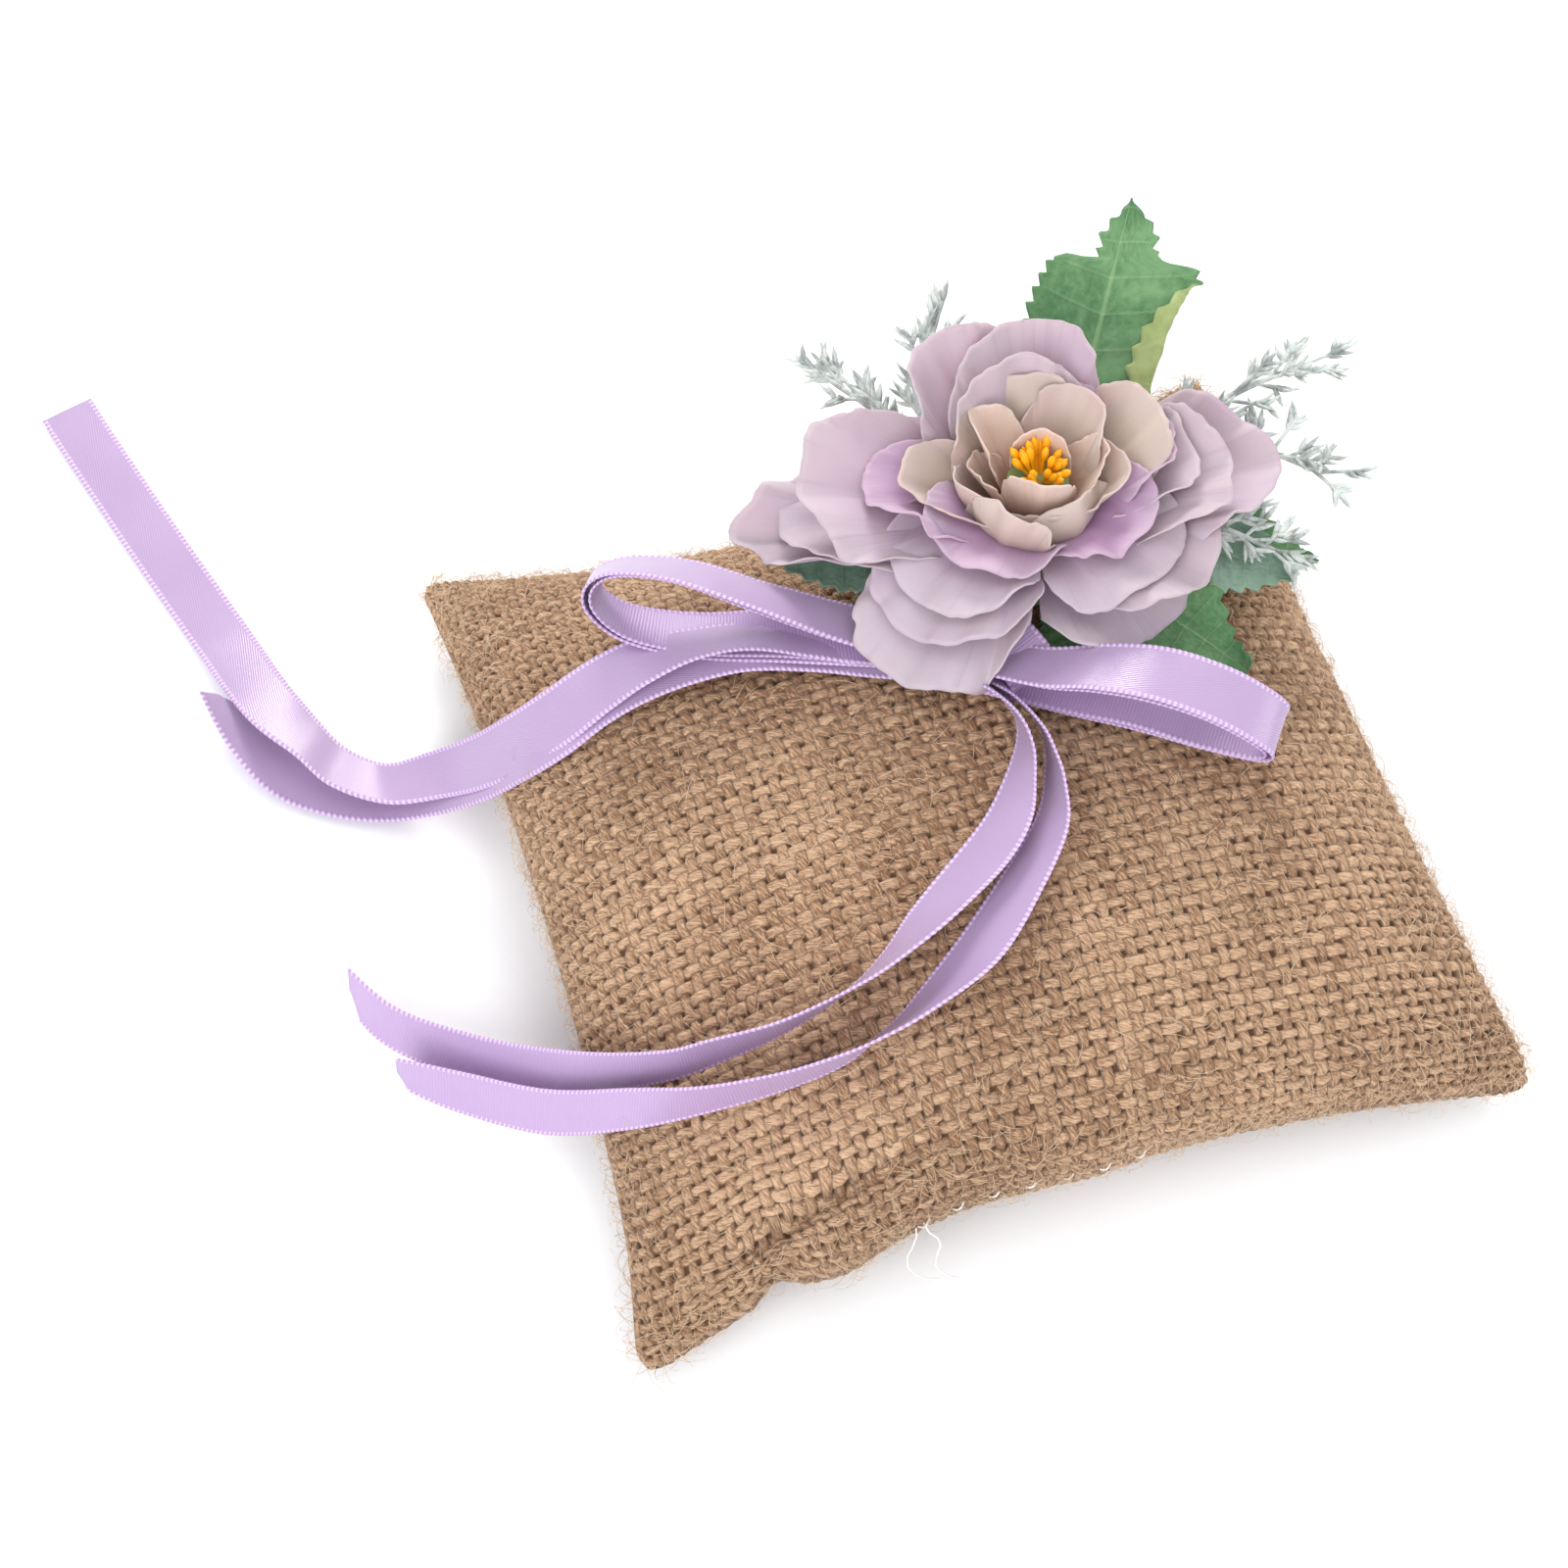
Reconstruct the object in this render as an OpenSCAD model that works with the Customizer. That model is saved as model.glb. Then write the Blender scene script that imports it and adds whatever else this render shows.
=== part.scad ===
// Ring bearer pillow: a small burlap cushion with a satin ribbon bow, under a fabric
// flower with leaves and frosted twigs.
// Origin: the middle of the flat patch that the pillow rests on. +Z is up, -Y is the front.

/* [Pillow] */
// Side of the square pillow, measured from corner to corner along an edge
pillow_w = 150; // [146:1:154]
// Height of the crown above the surface that the pillow rests on
pillow_h = 44; // [42:0.5:45]
// Height of the seam at the four corners
seam_corner_h = 7; // [5:0.5:9]
// Height of the seam at the middle of the front and side edges
seam_middle_h = 16; // [12:0.5:18]
// How much lower the seam lies at the middle of the back edge
seam_back_drop = 9; // [0:0.5:10]
// How far the left edge pulls in at its middle, as a share of the half width
pull_left = 0.05; // [0.02:0.01:0.15]
// How far the right edge pulls in at its middle
pull_right = 0.09; // [0.02:0.01:0.15]
// How far the front edge pulls in at its middle
pull_front = 0.09; // [0.08:0.01:0.12]
// How far the back edge pulls in at its middle
pull_back = 0.18; // [0.1:0.01:0.2]
// Thickness of the burlap
cover_t = 1; // [0.6:0.1:1.4]

/* [Ribbon] */
// Width of the satin ribbon
ribbon_w = 10; // [8:0.5:11]
// Thickness of one layer of ribbon
ribbon_t = 0.4; // [0.3:0.1:0.6]
// Gap between the two layers of a doubled bow loop
loop_layer_gap = 1.2; // [0.8:0.1:1.6]

/* [Flower] */
// Thickness of a stiffened fabric petal
petal_t = 0.5; // [0.4:0.1:0.8]
// Radius of the hub in the middle of each petal layer
hub_r = 4; // [3:0.5:5]
// Radius of the moulded peg that the petal layers are threaded on
peg_r = 1.5; // [1:0.1:2]
// Radius of the felt disc under the flower
backing_r = 14; // [10:1:16]

/* [Leaves and twigs] */
// Thickness of a leaf
leaf_t = 0.5; // [0.4:0.1:0.8]
// Radius of a twig's stem
twig_r = 0.6; // [0.5:0.1:0.9]
// Length of the needles on a twig
needle_len = 6; // [4:0.5:7]

/* [Hidden] */

half_w = pillow_w / 2;
filling_gap = 0.3;
crown_power = 0.42;
left_power = 0.55;
back_power = 0.6;
flower_axis = [22, 29, 0];
backing_z = 45;
backing_h = 1.6;
layer_pitch = 1;
peg_top_z = 59;
burlap = [0.74, 0.62, 0.48];
satin = [0.79, 0.63, 0.88];
lilac = [0.80, 0.72, 0.80];
beige = [0.79, 0.71, 0.68];
leaf_green = [0.40, 0.58, 0.44];
frost = [0.80, 0.83, 0.80];

// Ribbon routes: each point is x, y, z of the middle, then the direction across the ribbon.
route_left_loop = [
    [2, 13, 47, -0.5, -0.6, 0.6], [-10, 18.5, 48.5, -0.5, -0.65, 0.55],
    [-25, 26.5, 52, -0.55, -0.6, 0.5], [-36, 34, 53.5, -0.6, -0.55, 0.55],
    [-45, 38.5, 52.5, -0.5, -0.6, 0.6], [-50, 39.5, 49.5, -0.35, -0.7, 0.62],
    [-50.5, 37.5, 46, -0.35, -0.75, 0.55], [-46, 33.5, 43, -0.35, -0.85, 0.4],
    [-36, 28, 42.5, -0.3, -0.9, 0.25], [-22, 22, 44.5, -0.2, -0.95, 0.1],
    [-6, 15.5, 45.5, -0.1, -1, 0]
];
route_right_loop = [
    [4, 9, 47.5, -0.4, -0.7, 0.4], [13.5, 1.5, 50.5, -0.5, -0.75, 0.3],
    [21, -3, 54, -0.6, -0.75, 0.15], [29, -8, 55.8, -0.6, -0.78, 0],
    [37, -13.5, 54.5, -0.6, -0.78, -0.05], [43, -18, 51.5, -0.6, -0.78, -0.05],
    [45.8, -19.8, 48, -0.6, -0.78, 0], [44, -18.3, 44.8, -0.6, -0.78, 0.1],
    [37, -13, 43.6, -0.6, -0.78, 0.1], [28, -7, 44.6, -0.6, -0.78, 0.05],
    [18, -1, 45.4, -0.6, -0.78, 0], [6, 7, 45.6, -0.6, -0.78, 0]
];
route_tail_left_upper = [
    [-2, 14, 46, 0, -1, 0], [-10, 17, 45.2, 0, -1, 0], [-19, 21, 45, -0.05, -0.97, 0.25],
    [-29, 24, 45.5, 0, -0.85, 0.5], [-38, 25.5, 45, 0.1, -0.88, 0.45],
    [-46, 26, 43, 0.1, -0.97, 0.2], [-53, 26, 39, 0.15, -0.99, 0],
    [-60.2, 25.6, 33.8, 0.18, -0.93, -0.15], [-67.2, 27.1, 26.4, 0.15, -0.95, -0.15],
    [-74.1, 30.2, 17.6, 0.05, -0.98, -0.1], [-82, 34.5, 9.5, 0.05, -0.98, 0.1],
    [-90, 37.5, 4.5, -0.2, -0.93, 0.3], [-97, 43, 3, -0.45, -0.8, 0.4],
    [-101, 50, 3, -0.5, -0.7, 0.5], [-106, 60, 2.6, -0.85, -0.37, 0.37],
    [-111, 78, 1.6, -0.96, -0.28, 0.1], [-118, 101, 1, -0.97, -0.25, 0],
    [-125, 125, 1, -0.97, -0.25, 0], [-128, 136, 1, -0.97, -0.25, 0]
];
route_tail_left_lower = [
    [0, 11, 45.4, 0, -1, 0], [-10, 15.5, 44.2, 0, -1, 0], [-20, 20, 43.6, 0, -0.98, 0.1],
    [-30, 23, 43.4, 0, -0.97, 0.2], [-39, 24.5, 42.2, 0, -0.98, 0.1],
    [-47, 25, 39.8, 0, -1, 0.05], [-54.1, 24.8, 36.4, 0.1, -0.99, 0.05],
    [-61.2, 24.3, 31.4, 0.12, -0.98, 0], [-68.3, 25.7, 24.3, 0.1, -0.98, 0],
    [-75.1, 29.1, 15, 0, -0.99, 0], [-83, 33, 7, 0, -0.98, 0.1],
    [-91, 36.5, 2.6, -0.1, -0.98, 0.15], [-99, 41, 1.6, -0.35, -0.92, 0.15],
    [-106, 47, 2.6, -0.6, -0.75, 0.3], [-110, 55, 4.4, -0.7, -0.45, 0.55],
    [-114, 64, 6, -0.5, -0.2, 0.8]
];
route_tail_front_inner = [
    [2, 9, 46.2, -0.2, -0.85, 0.45], [5, 3, 47.4, -0.1, -0.72, 0.68],
    [7, -4, 48.9, -0.1, -0.6, 0.8], [7, -9, 49.5, -0.05, -0.75, 0.65],
    [5, -14, 49, 0.05, -0.8, 0.6], [1, -20, 48, 0.35, -0.73, 0.6],
    [-4, -24.5, 47, 0.45, -0.7, 0.52], [-13, -30, 45.2, 0.7, -0.45, 0.5],
    [-24, -36.5, 45, 0.05, -0.56, 0.83], [-32, -39.5, 43.5, -0.1, -0.38, 0.92],
    [-43, -41.2, 41, -0.18, -0.2, 0.96], [-53.1, -40.4, 37.4, -0.2, 0, 0.98],
    [-61.2, -38.5, 32.6, 0, 0.1, 0.99], [-72.1, -31.8, 22.8, 0.1, 0.27, 0.96],
    [-84, -22, 12, 0.3, 0.33, 0.88], [-95, -12, 6.5, 0.35, 0.25, 0.9],
    [-101, -5.5, 5.2, 0.3, 0.2, 0.92], [-105, 2, 5.2, 0.15, 0.3, 0.92]
];
route_tail_front_outer = [
    [6, 7, 46, -0.2, -0.85, 0.45], [8, 1, 47.2, -0.1, -0.7, 0.7],
    [10, -7, 48.8, -0.15, -0.56, 0.82], [10, -12, 49.4, -0.1, -0.58, 0.81],
    [9, -17, 49.2, 0.04, -0.63, 0.77], [6, -24, 48.4, 0.21, -0.68, 0.7],
    [-2, -32, 46.8, 0.4, -0.68, 0.62], [-12, -40, 44.6, 0.55, -0.62, 0.56],
    [-23, -45.5, 42.6, 0.3, -0.45, 0.84], [-30, -47.5, 41.4, -0.1, -0.4, 0.9],
    [-36.1, -48.7, 40.2, -0.22, -0.22, 0.95], [-45.1, -48.3, 37.6, -0.2, -0.1, 0.97],
    [-57.2, -46, 33.6, -0.07, 0.05, 1], [-68.1, -40.9, 25.9, 0.19, 0.28, 0.94],
    [-80, -33, 15, 0.18, 0.37, 0.91], [-92, -22.5, 7.5, 0.18, 0.3, 0.94],
    [-101, -15, 5.4, 0.08, 0.05, 1]
];
route_center_wrap = [
    [6, 20, 46.2, -0.9, -0.4, 0], [8, 15, 48.2, -0.9, -0.4, 0], [10, 10, 48.8, -0.9, -0.4, 0],
    [12, 5, 48, -0.9, -0.4, 0], [13, 2.5, 46, -0.9, -0.4, 0], [11.6, 5, 44.6, -0.9, -0.4, 0],
    [9.4, 10, 44.2, -0.9, -0.4, 0], [7.4, 15, 44.4, -0.9, -0.4, 0]
];

// Petal layers: each petal is its direction, its length, and its slope at root and tip.
outer_low = [[165, 43, 12, 4], [85, 31, 40, 58], [8, 39, 26, 14], [-50, 31, 20, -10],
    [-128, 34, 18, -6]];
outer_middle = [[152, 38, 28, 22], [92, 29, 50, 64], [20, 36, 36, 30], [-46, 29, 28, 2],
    [-132, 29, 28, 8]];
outer_high = [[148, 31, 38, 32], [84, 27, 54, 68], [24, 30, 44, 40], [-56, 25, 38, 24],
    [-126, 25, 34, 22]];
inner_low = [[176, 25, 44, 50], [104, 26, 52, 62], [36, 26, 48, 48], [-40, 23, 44, 50],
    [-110, 23, 44, 52]];
inner_high = [[140, 22, 56, 66], [70, 23, 60, 70], [0, 22, 54, 58], [-72, 20, 56, 70],
    [-144, 20, 54, 68]];
cup_petals = [[170, 17, 68, 84], [98, 18, 70, 86], [26, 17, 66, 80], [-46, 16, 66, 88],
    [-118, 16, 66, 88]];
bud_petals = [[134, 13, 74, 92], [44, 13, 74, 90], [-46, 12, 72, 96], [-136, 12, 72, 96]];

function lerp(a, b, t) = a + (b - a) * t;
function unit(v) = v / norm(v);

// Closed skin between two grids of points with the same rows and columns.
// A row of the first grid lies on the side that the grid's normals point to.
// Both sides cut their quads along the same diagonal, so a twisted sheet keeps its thickness.
function grid_index(i, j, cols) = i * cols + j;
function quad(a, b, c, d) = [[a, b, c], [a, c, d]];
function skin_faces(rows, cols) = let (under = rows * cols) [
    for (i = [0:rows - 2], j = [0:cols - 2])
        let (a = grid_index(i, j, cols), b = a + 1, c = a + cols + 1, d = a + cols)
            each quad(a, b, c, d),
    for (i = [0:rows - 2], j = [0:cols - 2])
        let (a = grid_index(i, j, cols), b = a + 1, c = a + cols + 1, d = a + cols)
            each quad(a + under, d + under, c + under, b + under),
    for (j = [0:cols - 2])
        each quad(j + under, j + 1 + under, j + 1, j),
    for (j = [0:cols - 2])
        let (a = (rows - 1) * cols + j)
            each quad(a, a + 1, a + 1 + under, a + under),
    for (i = [0:rows - 2])
        let (a = i * cols)
            each quad(a, a + cols, a + cols + under, a + under),
    for (i = [0:rows - 2])
        let (a = (i + 1) * cols - 1)
            each quad(a + under, a + cols + under, a + cols, a)
];
function skin_points(upper, lower) = [each [for (row = upper) each row],
    each [for (row = lower) each row]];

// A thin sheet of thickness t about a grid of points.
function sheet_normal(grid, i, j) = let (
    i0 = max(i - 1, 0), i1 = min(i + 1, len(grid) - 1),
    j0 = max(j - 1, 0), j1 = min(j + 1, len(grid[0]) - 1)
) unit(cross(grid[i1][j] - grid[i0][j], grid[i][j1] - grid[i][j0]));
function sheet_side(grid, move) = [
    for (i = [0:len(grid) - 1])
        [for (j = [0:len(grid[0]) - 1]) grid[i][j] + sheet_normal(grid, i, j) * move]
];
module sheet(grid, t)
    polyhedron(
        points = skin_points(sheet_side(grid, t / 2), sheet_side(grid, -t / 2)),
        faces = skin_faces(len(grid), len(grid[0])));

// Pillow surfaces, for u and v from -1 to 1 across the cushion.
function puff(u, v) = pow(1 - u * u, u < 0 ? left_power : crown_power)
    * pow(1 - v * v, v > 0 ? back_power : crown_power);
function seam_z(u, v) = lerp(seam_middle_h, seam_corner_h, u * u * v * v)
    - seam_back_drop * pow(max(v, 0), 4) * (1 - u * u);
function pull(low, high, t) = lerp(low, high, (t + 1) / 2);
function pillow_xy(u, v, inset) = (half_w - inset)
    * [u * (1 - pull(pull_left, pull_right, u) * (1 - v * v)),
        v * (1 - pull(pull_front, pull_back, v) * (1 - u * u))];
function top_point(u, v, inset) = [each pillow_xy(u, v, inset),
    seam_z(u, v) + (pillow_h - inset - seam_middle_h) * puff(u, v)];
function bottom_point(u, v, inset) = [each pillow_xy(u, v, inset),
    max(inset, seam_z(u, v) - 1.25 * (seam_middle_h - inset) * puff(u, v))];
// Steps across the cushion, closer together near its edges.
function spread(i, steps) = sin(90 * (2 * i / steps - 1));
function pillow_grid(steps, inset, top) = [
    for (i = [0:steps]) [for (j = [0:steps])
        let (u = spread(i, steps), v = spread(j, steps))
            top ? top_point(u, v, inset) : bottom_point(u, v, inset)]
];
module pillow_skin(steps, above, below)
    polyhedron(points = skin_points(above, below), faces = skin_faces(steps + 1, steps + 1));

module cover_top() {
    steps = 22;
    color(burlap) pillow_skin(steps, pillow_grid(steps, 0, true),
        pillow_grid(steps, cover_t, true));
}
// The lower panel is drawn with its outside up, like the top one, and mirrored into place.
function flipped(grid) = [for (row = grid) [for (p = row) [p.x, p.y, -p.z]]];
module cover_bottom() {
    steps = 18;
    color(burlap)
        mirror([0, 0, 1])
            pillow_skin(steps, flipped(pillow_grid(steps, 0, false)),
                flipped(pillow_grid(steps, cover_t, false)));
}
module filling() {
    steps = 14;
    inset = cover_t + filling_gap + 1;
    color("white") pillow_skin(steps, pillow_grid(steps, inset, true),
        pillow_grid(steps, inset + 0.4, false));
}

// A round tube along a list of points.
function tube_frame(path, i) = let (
    along = unit(path[min(i + 1, len(path) - 1)] - path[max(i - 1, 0)]),
    side = unit(cross(along, abs(along.z) > 0.8 ? [1, 0, 0] : [0, 0, 1])),
    up = cross(side, along)
) [side, up];
function tube_points(path, r, sides) = [
    for (i = [0:len(path) - 1], k = [0:sides - 1])
        let (f = tube_frame(path, i), a = 360 * k / sides)
            path[i] + r * (f[0] * cos(a) + f[1] * sin(a))
];
function tube_faces(rings, sides) = [
    for (i = [0:rings - 2], k = [0:sides - 1])
        let (a = i * sides + k, b = i * sides + (k + 1) % sides)
            each quad(a, b, b + sides, a + sides),
    [for (k = [sides - 1:-1:0]) k],
    [for (k = [0:sides - 1]) (rings - 1) * sides + k]
];
module tube(path, r, sides = 6)
    polyhedron(points = tube_points(path, r, sides), faces = tube_faces(len(path), sides));

// Sewing thread just inside the seam, as four straight-ish runs that meet at the corners.
module seam_thread() {
    steps = 10;
    inset = 1.5;
    r = 0.3;
    color("beige")
        for (side = [-1, 1]) {
            tube([for (i = [0:steps]) let (v = lerp(-0.96, 0.96, i / steps))
                [each pillow_xy(side, v, inset), seam_z(side, v)]], r);
            tube([for (i = [0:steps]) let (u = lerp(-0.96, 0.96, i / steps))
                [each pillow_xy(u, side, inset), seam_z(u, side)]], r);
        }
}
// Hand stitches that close the front edge, with two loose thread ends.
module closing_thread() {
    r = 0.3;
    stitches = 7;
    first_x = -30;
    pitch = 6;
    front_y = -half_w * (1 - pull_front);
    color("white") {
        for (k = [0:stitches - 1])
            tube([[first_x + k * pitch, front_y + 0.5, 13.4],
                [first_x + k * pitch + 1, front_y - 0.7, 14.6],
                [first_x + k * pitch + 2, front_y + 0.5, 15.8]], r);
        tube([[first_x, front_y + 0.5, 13.6], [first_x - 1, front_y - 2, 12],
            [first_x - 2, front_y - 4, 9], [first_x - 1, front_y - 5, 6]], r);
        tube([[first_x + 2, front_y + 0.5, 14.6], [first_x + 3, front_y - 1.5, 12.5],
            [first_x + 2, front_y - 4, 10], [first_x + 3, front_y - 6, 8]], r);
    }
}

// Smooth curve through a list of points (Catmull-Rom), with cuts steps between points.
function curve_at(p, i, t) = let (
    n = len(p) - 1,
    a = p[max(i - 1, 0)], b = p[i], c = p[min(i + 1, n)], d = p[min(i + 2, n)]
) 0.5 * (2 * b + (c - a) * t + (2 * a - 5 * b + 4 * c - d) * t * t
    + (3 * b - a - 3 * c + d) * t * t * t);
function curve(p, cuts) = [
    for (i = [0:len(p) - 2], k = [0:cuts - 1]) curve_at(p, i, k / cuts), p[len(p) - 1]
];
function route_middle(q) = [q[0], q[1], q[2]];
function route_across(q) = unit([q[3], q[4], q[5]]);
function ribbon_grid(route, cuts) = [
    for (q = curve(route, cuts))
        [route_middle(q) - route_across(q) * ribbon_w / 2,
            route_middle(q) + route_across(q) * ribbon_w / 2]
];
module ribbon(route, cuts = 2)
    color(satin) sheet(ribbon_grid(route, cuts), ribbon_t);

// The same route moved towards the inside of a loop.
function loop_inside(route, middle, gap) = [
    for (q = route)
        let (toward = unit(middle - route_middle(q)))
            [each (route_middle(q) + toward * gap), q[3], q[4], q[5]]
];
module bow_left_outer() ribbon(route_left_loop);
module bow_left_inner() ribbon(loop_inside(route_left_loop, [-26, 28, 48], loop_layer_gap));
module bow_right_outer() ribbon(route_right_loop);
module bow_right_inner() ribbon(loop_inside(route_right_loop, [26, -6, 49.5], loop_layer_gap));
module bow_center_wrap() ribbon(route_center_wrap);
module tail_left_upper() ribbon(route_tail_left_upper);
module tail_left_lower() ribbon(route_tail_left_lower);
module tail_front_inner() ribbon(route_tail_front_inner);
module tail_front_outer() ribbon(route_tail_front_outer);

// Hot glue pad between the burlap and the knot, and the felt disc that carries the flower.
module glue_pad() {
    pad_r = 10;
    pad_h = 2.1;
    color([0.9, 0.88, 0.8])
        translate([flower_axis.x, flower_axis.y, backing_z - pad_h])
            cylinder(r1 = pad_r, r2 = pad_r - 2, h = pad_h, $fn = 48);
}
module flower_backing() {
    color([0.45, 0.6, 0.45])
        translate([flower_axis.x, flower_axis.y, backing_z])
            difference() {
                cylinder(r = backing_r, h = backing_h, $fn = 64);
                translate([0, 0, -1]) cylinder(r = peg_r, h = backing_h + 2, $fn = 32);
            }
}
module calyx_peg() {
    head_r = 5;
    color([0.5, 0.62, 0.4])
        translate([flower_axis.x, flower_axis.y, 0]) {
            translate([0, 0, backing_z]) cylinder(r = peg_r, h = peg_top_z - backing_z, $fn = 32);
            translate([0, 0, peg_top_z - 1]) cylinder(r1 = peg_r, r2 = head_r, h = 2, $fn = 32);
        }
}

// One petal layer: a ring of lobes cut from one sheet, each lobe with its own slope.
function turn_between(a, b) = (b - a + 720) % 360;
function lobe_at(petals, angle) = let (
    n = len(petals),
    spans = [for (k = [0:n - 1]) let (next = petals[(k + 1) % n][0])
        [k, turn_between(next, petals[k][0]), turn_between(next, angle)]],
    hit = [for (s = spans) if (s[2] < s[1]) s][0],
    t = 1 - hit[2] / hit[1],
    blend = (1 - cos(180 * t)) / 2,
    from = petals[hit[0]], to = petals[(hit[0] + 1) % n]
) [lerp(from[1], to[1], blend), lerp(from[2], to[2], blend), lerp(from[3], to[3], blend),
    pow(abs(cos(180 * t)), 0.4)];
function lobe_run(root, tip, s) = (sin(lerp(root, tip, s)) - sin(root)) / ((tip - root) * PI / 180);
function lobe_rise(root, tip, s) = (cos(root) - cos(lerp(root, tip, s))) / ((tip - root) * PI / 180);
function petal_ring(petals, z, s, angle) = let (
    lobe = lobe_at(petals, angle),
    reach = lobe[0] * lerp(0.5, 1, lobe[3]),
    root = lobe[1], tip = lobe[2] + 0.01,
    r = hub_r + reach * lobe_run(root, tip, s)
) [flower_axis.x + r * cos(angle), flower_axis.y + r * sin(angle),
    z + reach * lobe_rise(root, tip, s)];
module petal_layer(petals, layer, tint, around = 60, out = 5) {
    z = backing_z + backing_h + petal_t / 2 + 0.1 + layer * layer_pitch;
    grid = [for (k = [0:around]) [for (i = [0:out])
        petal_ring(petals, z, i / out, 360 * k / around)]];
    up = sheet_wrap_side(grid, petal_t / 2);
    down = sheet_wrap_side(grid, -petal_t / 2);
    color(tint) {
        polyhedron(points = skin_points(down, up), faces = ring_faces(around, out + 1));
        translate([flower_axis.x, flower_axis.y, z - petal_t / 2])
            difference() {
                cylinder(r = hub_r + 0.4, h = petal_t, $fn = 48);
                translate([0, 0, -1]) cylinder(r = peg_r, h = petal_t + 2, $fn = 32);
            }
    }
}
// The grid goes once round, so its first and last rows are the same line of the sheet.
function wrap_normal(grid, i, j) = let (
    n = len(grid) - 1,
    i0 = (i + n - 1) % n, i1 = (i + 1) % n,
    j0 = max(j - 1, 0), j1 = min(j + 1, len(grid[0]) - 1)
) unit(cross(grid[i1][j] - grid[i0][j], grid[i][j1] - grid[i][j0]));
function sheet_wrap_side(grid, move) = [
    for (i = [0:len(grid) - 2])
        [for (j = [0:len(grid[0]) - 1]) grid[i][j] + wrap_normal(grid, i, j) * move]
];
function ring_faces(around, cols) = let (under = around * cols) [
    for (i = [0:around - 1], j = [0:cols - 2])
        let (a = i * cols + j, b = a + 1, d = ((i + 1) % around) * cols + j, c = d + 1) each [
            each quad(d, c, b, a),
            each quad(b + under, c + under, d + under, a + under)],
    for (i = [0:around - 1])
        let (a = i * cols, d = ((i + 1) % around) * cols) each [
            each quad(a, a + under, d + under, d),
            each quad(d + cols - 1, d + cols - 1 + under, a + cols - 1 + under, a + cols - 1)]
];
module petals_outer_low() petal_layer(outer_low, 0, lilac);
module petals_outer_middle() petal_layer(outer_middle, 1, lilac);
module petals_outer_high() petal_layer(outer_high, 2, lilac);
module petals_inner_low() petal_layer(inner_low, 3, beige, 48, 4);
module petals_inner_high() petal_layer(inner_high, 4, beige, 48, 4);
module petals_cup() petal_layer(cup_petals, 5, beige, 40, 4);
module petals_bud() petal_layer(bud_petals, 6, beige, 36, 4);

// A straight round rod between two points.
module rod(from, to, r) {
    along = to - from;
    translate(from)
        rotate([0, acos(along.z / norm(along)), atan2(along.y, along.x)])
            cylinder(r = r, h = norm(along), $fn = 6);
}
module stamens() {
    count = 11;
    foot = [flower_axis.x, flower_axis.y, peg_top_z + 0.8];
    color([1, 0.75, 0.1])
        for (k = [0:count - 1]) {
            lean = 10 + 22 * ((k * 5) % count) / count;
            turn = 360 * k / count;
            tall = 6 + (k * 3) % 4;
            rotate_at(foot, lean, turn) {
                translate([0, 0, 0]) cylinder(r = 0.35, h = tall, $fn = 6);
                translate([0, 0, tall]) cylinder(r = 0.9, h = 1.6, $fn = 8);
            }
        }
}
module rotate_at(at, lean, turn)
    translate(at) rotate(turn) translate([1.6, 0, 0]) rotate([0, lean, 0]) children();

// One leaf: a blade that rises along its length and folds up a little on both sides of its rib.
function leaf_half_width(s, w, lobe) =
    w * pow(sin(180 * pow(min(s, 1), 0.8)), 0.8) * (1 - 0.35 * s) + lobe * exp(-pow((s - 0.66) / 0.1, 2))
    + 0.8 * (1 - s) + 0.3;
function leaf_point(base, turn, length, w, root, tip, fold, lobe, s, t) = let (
    run = length * lobe_run(root, tip, s),
    rise = length * lobe_rise(root, tip, s),
    side = leaf_half_width(s, w, lobe) * t
) base + [run * cos(turn) - side * sin(turn), run * sin(turn) + side * cos(turn),
    rise + fold * abs(side)];
module leaf(base, turn, length, w, root, tip, fold = 0.15, lobe = 0) {
    rows = 12;
    cols = 4;
    color(leaf_green) sheet([for (i = [0:rows]) [for (j = [0:cols])
        leaf_point(base, turn, length, w, root, tip, fold, lobe, i / rows, 2 * j / cols - 1)]],
        leaf_t);
}
module leaf_back() leaf([31, 38, 44.6], 57, 49, 11, 22, 18, 0.12, 5);
module leaf_right_upper() leaf([33.5, 25, 44.6], -29, 37, 9, 6, -26);
module leaf_right_lower() leaf([33, 22, 44], -33, 31, 8, 4, -24);
module leaf_front_right() leaf([29, 19.5, 44.6], -55, 31, 8, 8, -12);
module leaf_front() leaf([22, 17, 44.6], -85, 17, 8, 4, -4);
module leaf_left() leaf([9, 31, 44.6], 172, 31, 8, 6, 2);

// One twig: a bent stem, then pairs of needles that point forward along it.
module twig(base, bend, tip, needles = 7) {
    first = 0.25;
    color(frost) {
        rod(base, bend, twig_r);
        rod(bend, tip, twig_r);
        for (k = [0:needles - 1]) {
            at = lerp(bend, tip, lerp(first, 1, k / (needles - 1)));
            along = unit(tip - bend);
            side = unit(cross(along, [0, 0, 1]));
            up = cross(side, along);
            turn = 137 * k;
            out = side * cos(turn) + up * sin(turn);
            rod(at, at + needle_len * unit(along + out), 0.5);
            rod(at, at + needle_len * unit(along - out), 0.5);
        }
    }
}
module twig_left_back() twig([15, 42, 46], [11, 54, 51], [18, 64, 56]);
module twig_left_front() twig([13, 40, 45.6], [7, 53, 50], [-1, 61, 54]);
module twig_right_back() twig([35, 35, 46], [60, 41, 50.5], [76, 44, 50]);
module twig_right_middle() twig([37, 32, 45.6], [59, 32, 49], [73, 27, 43]);
module twig_right_front() twig([37, 29, 45.2], [50, 21, 46.5], [61, 14, 42.5]);

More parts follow.
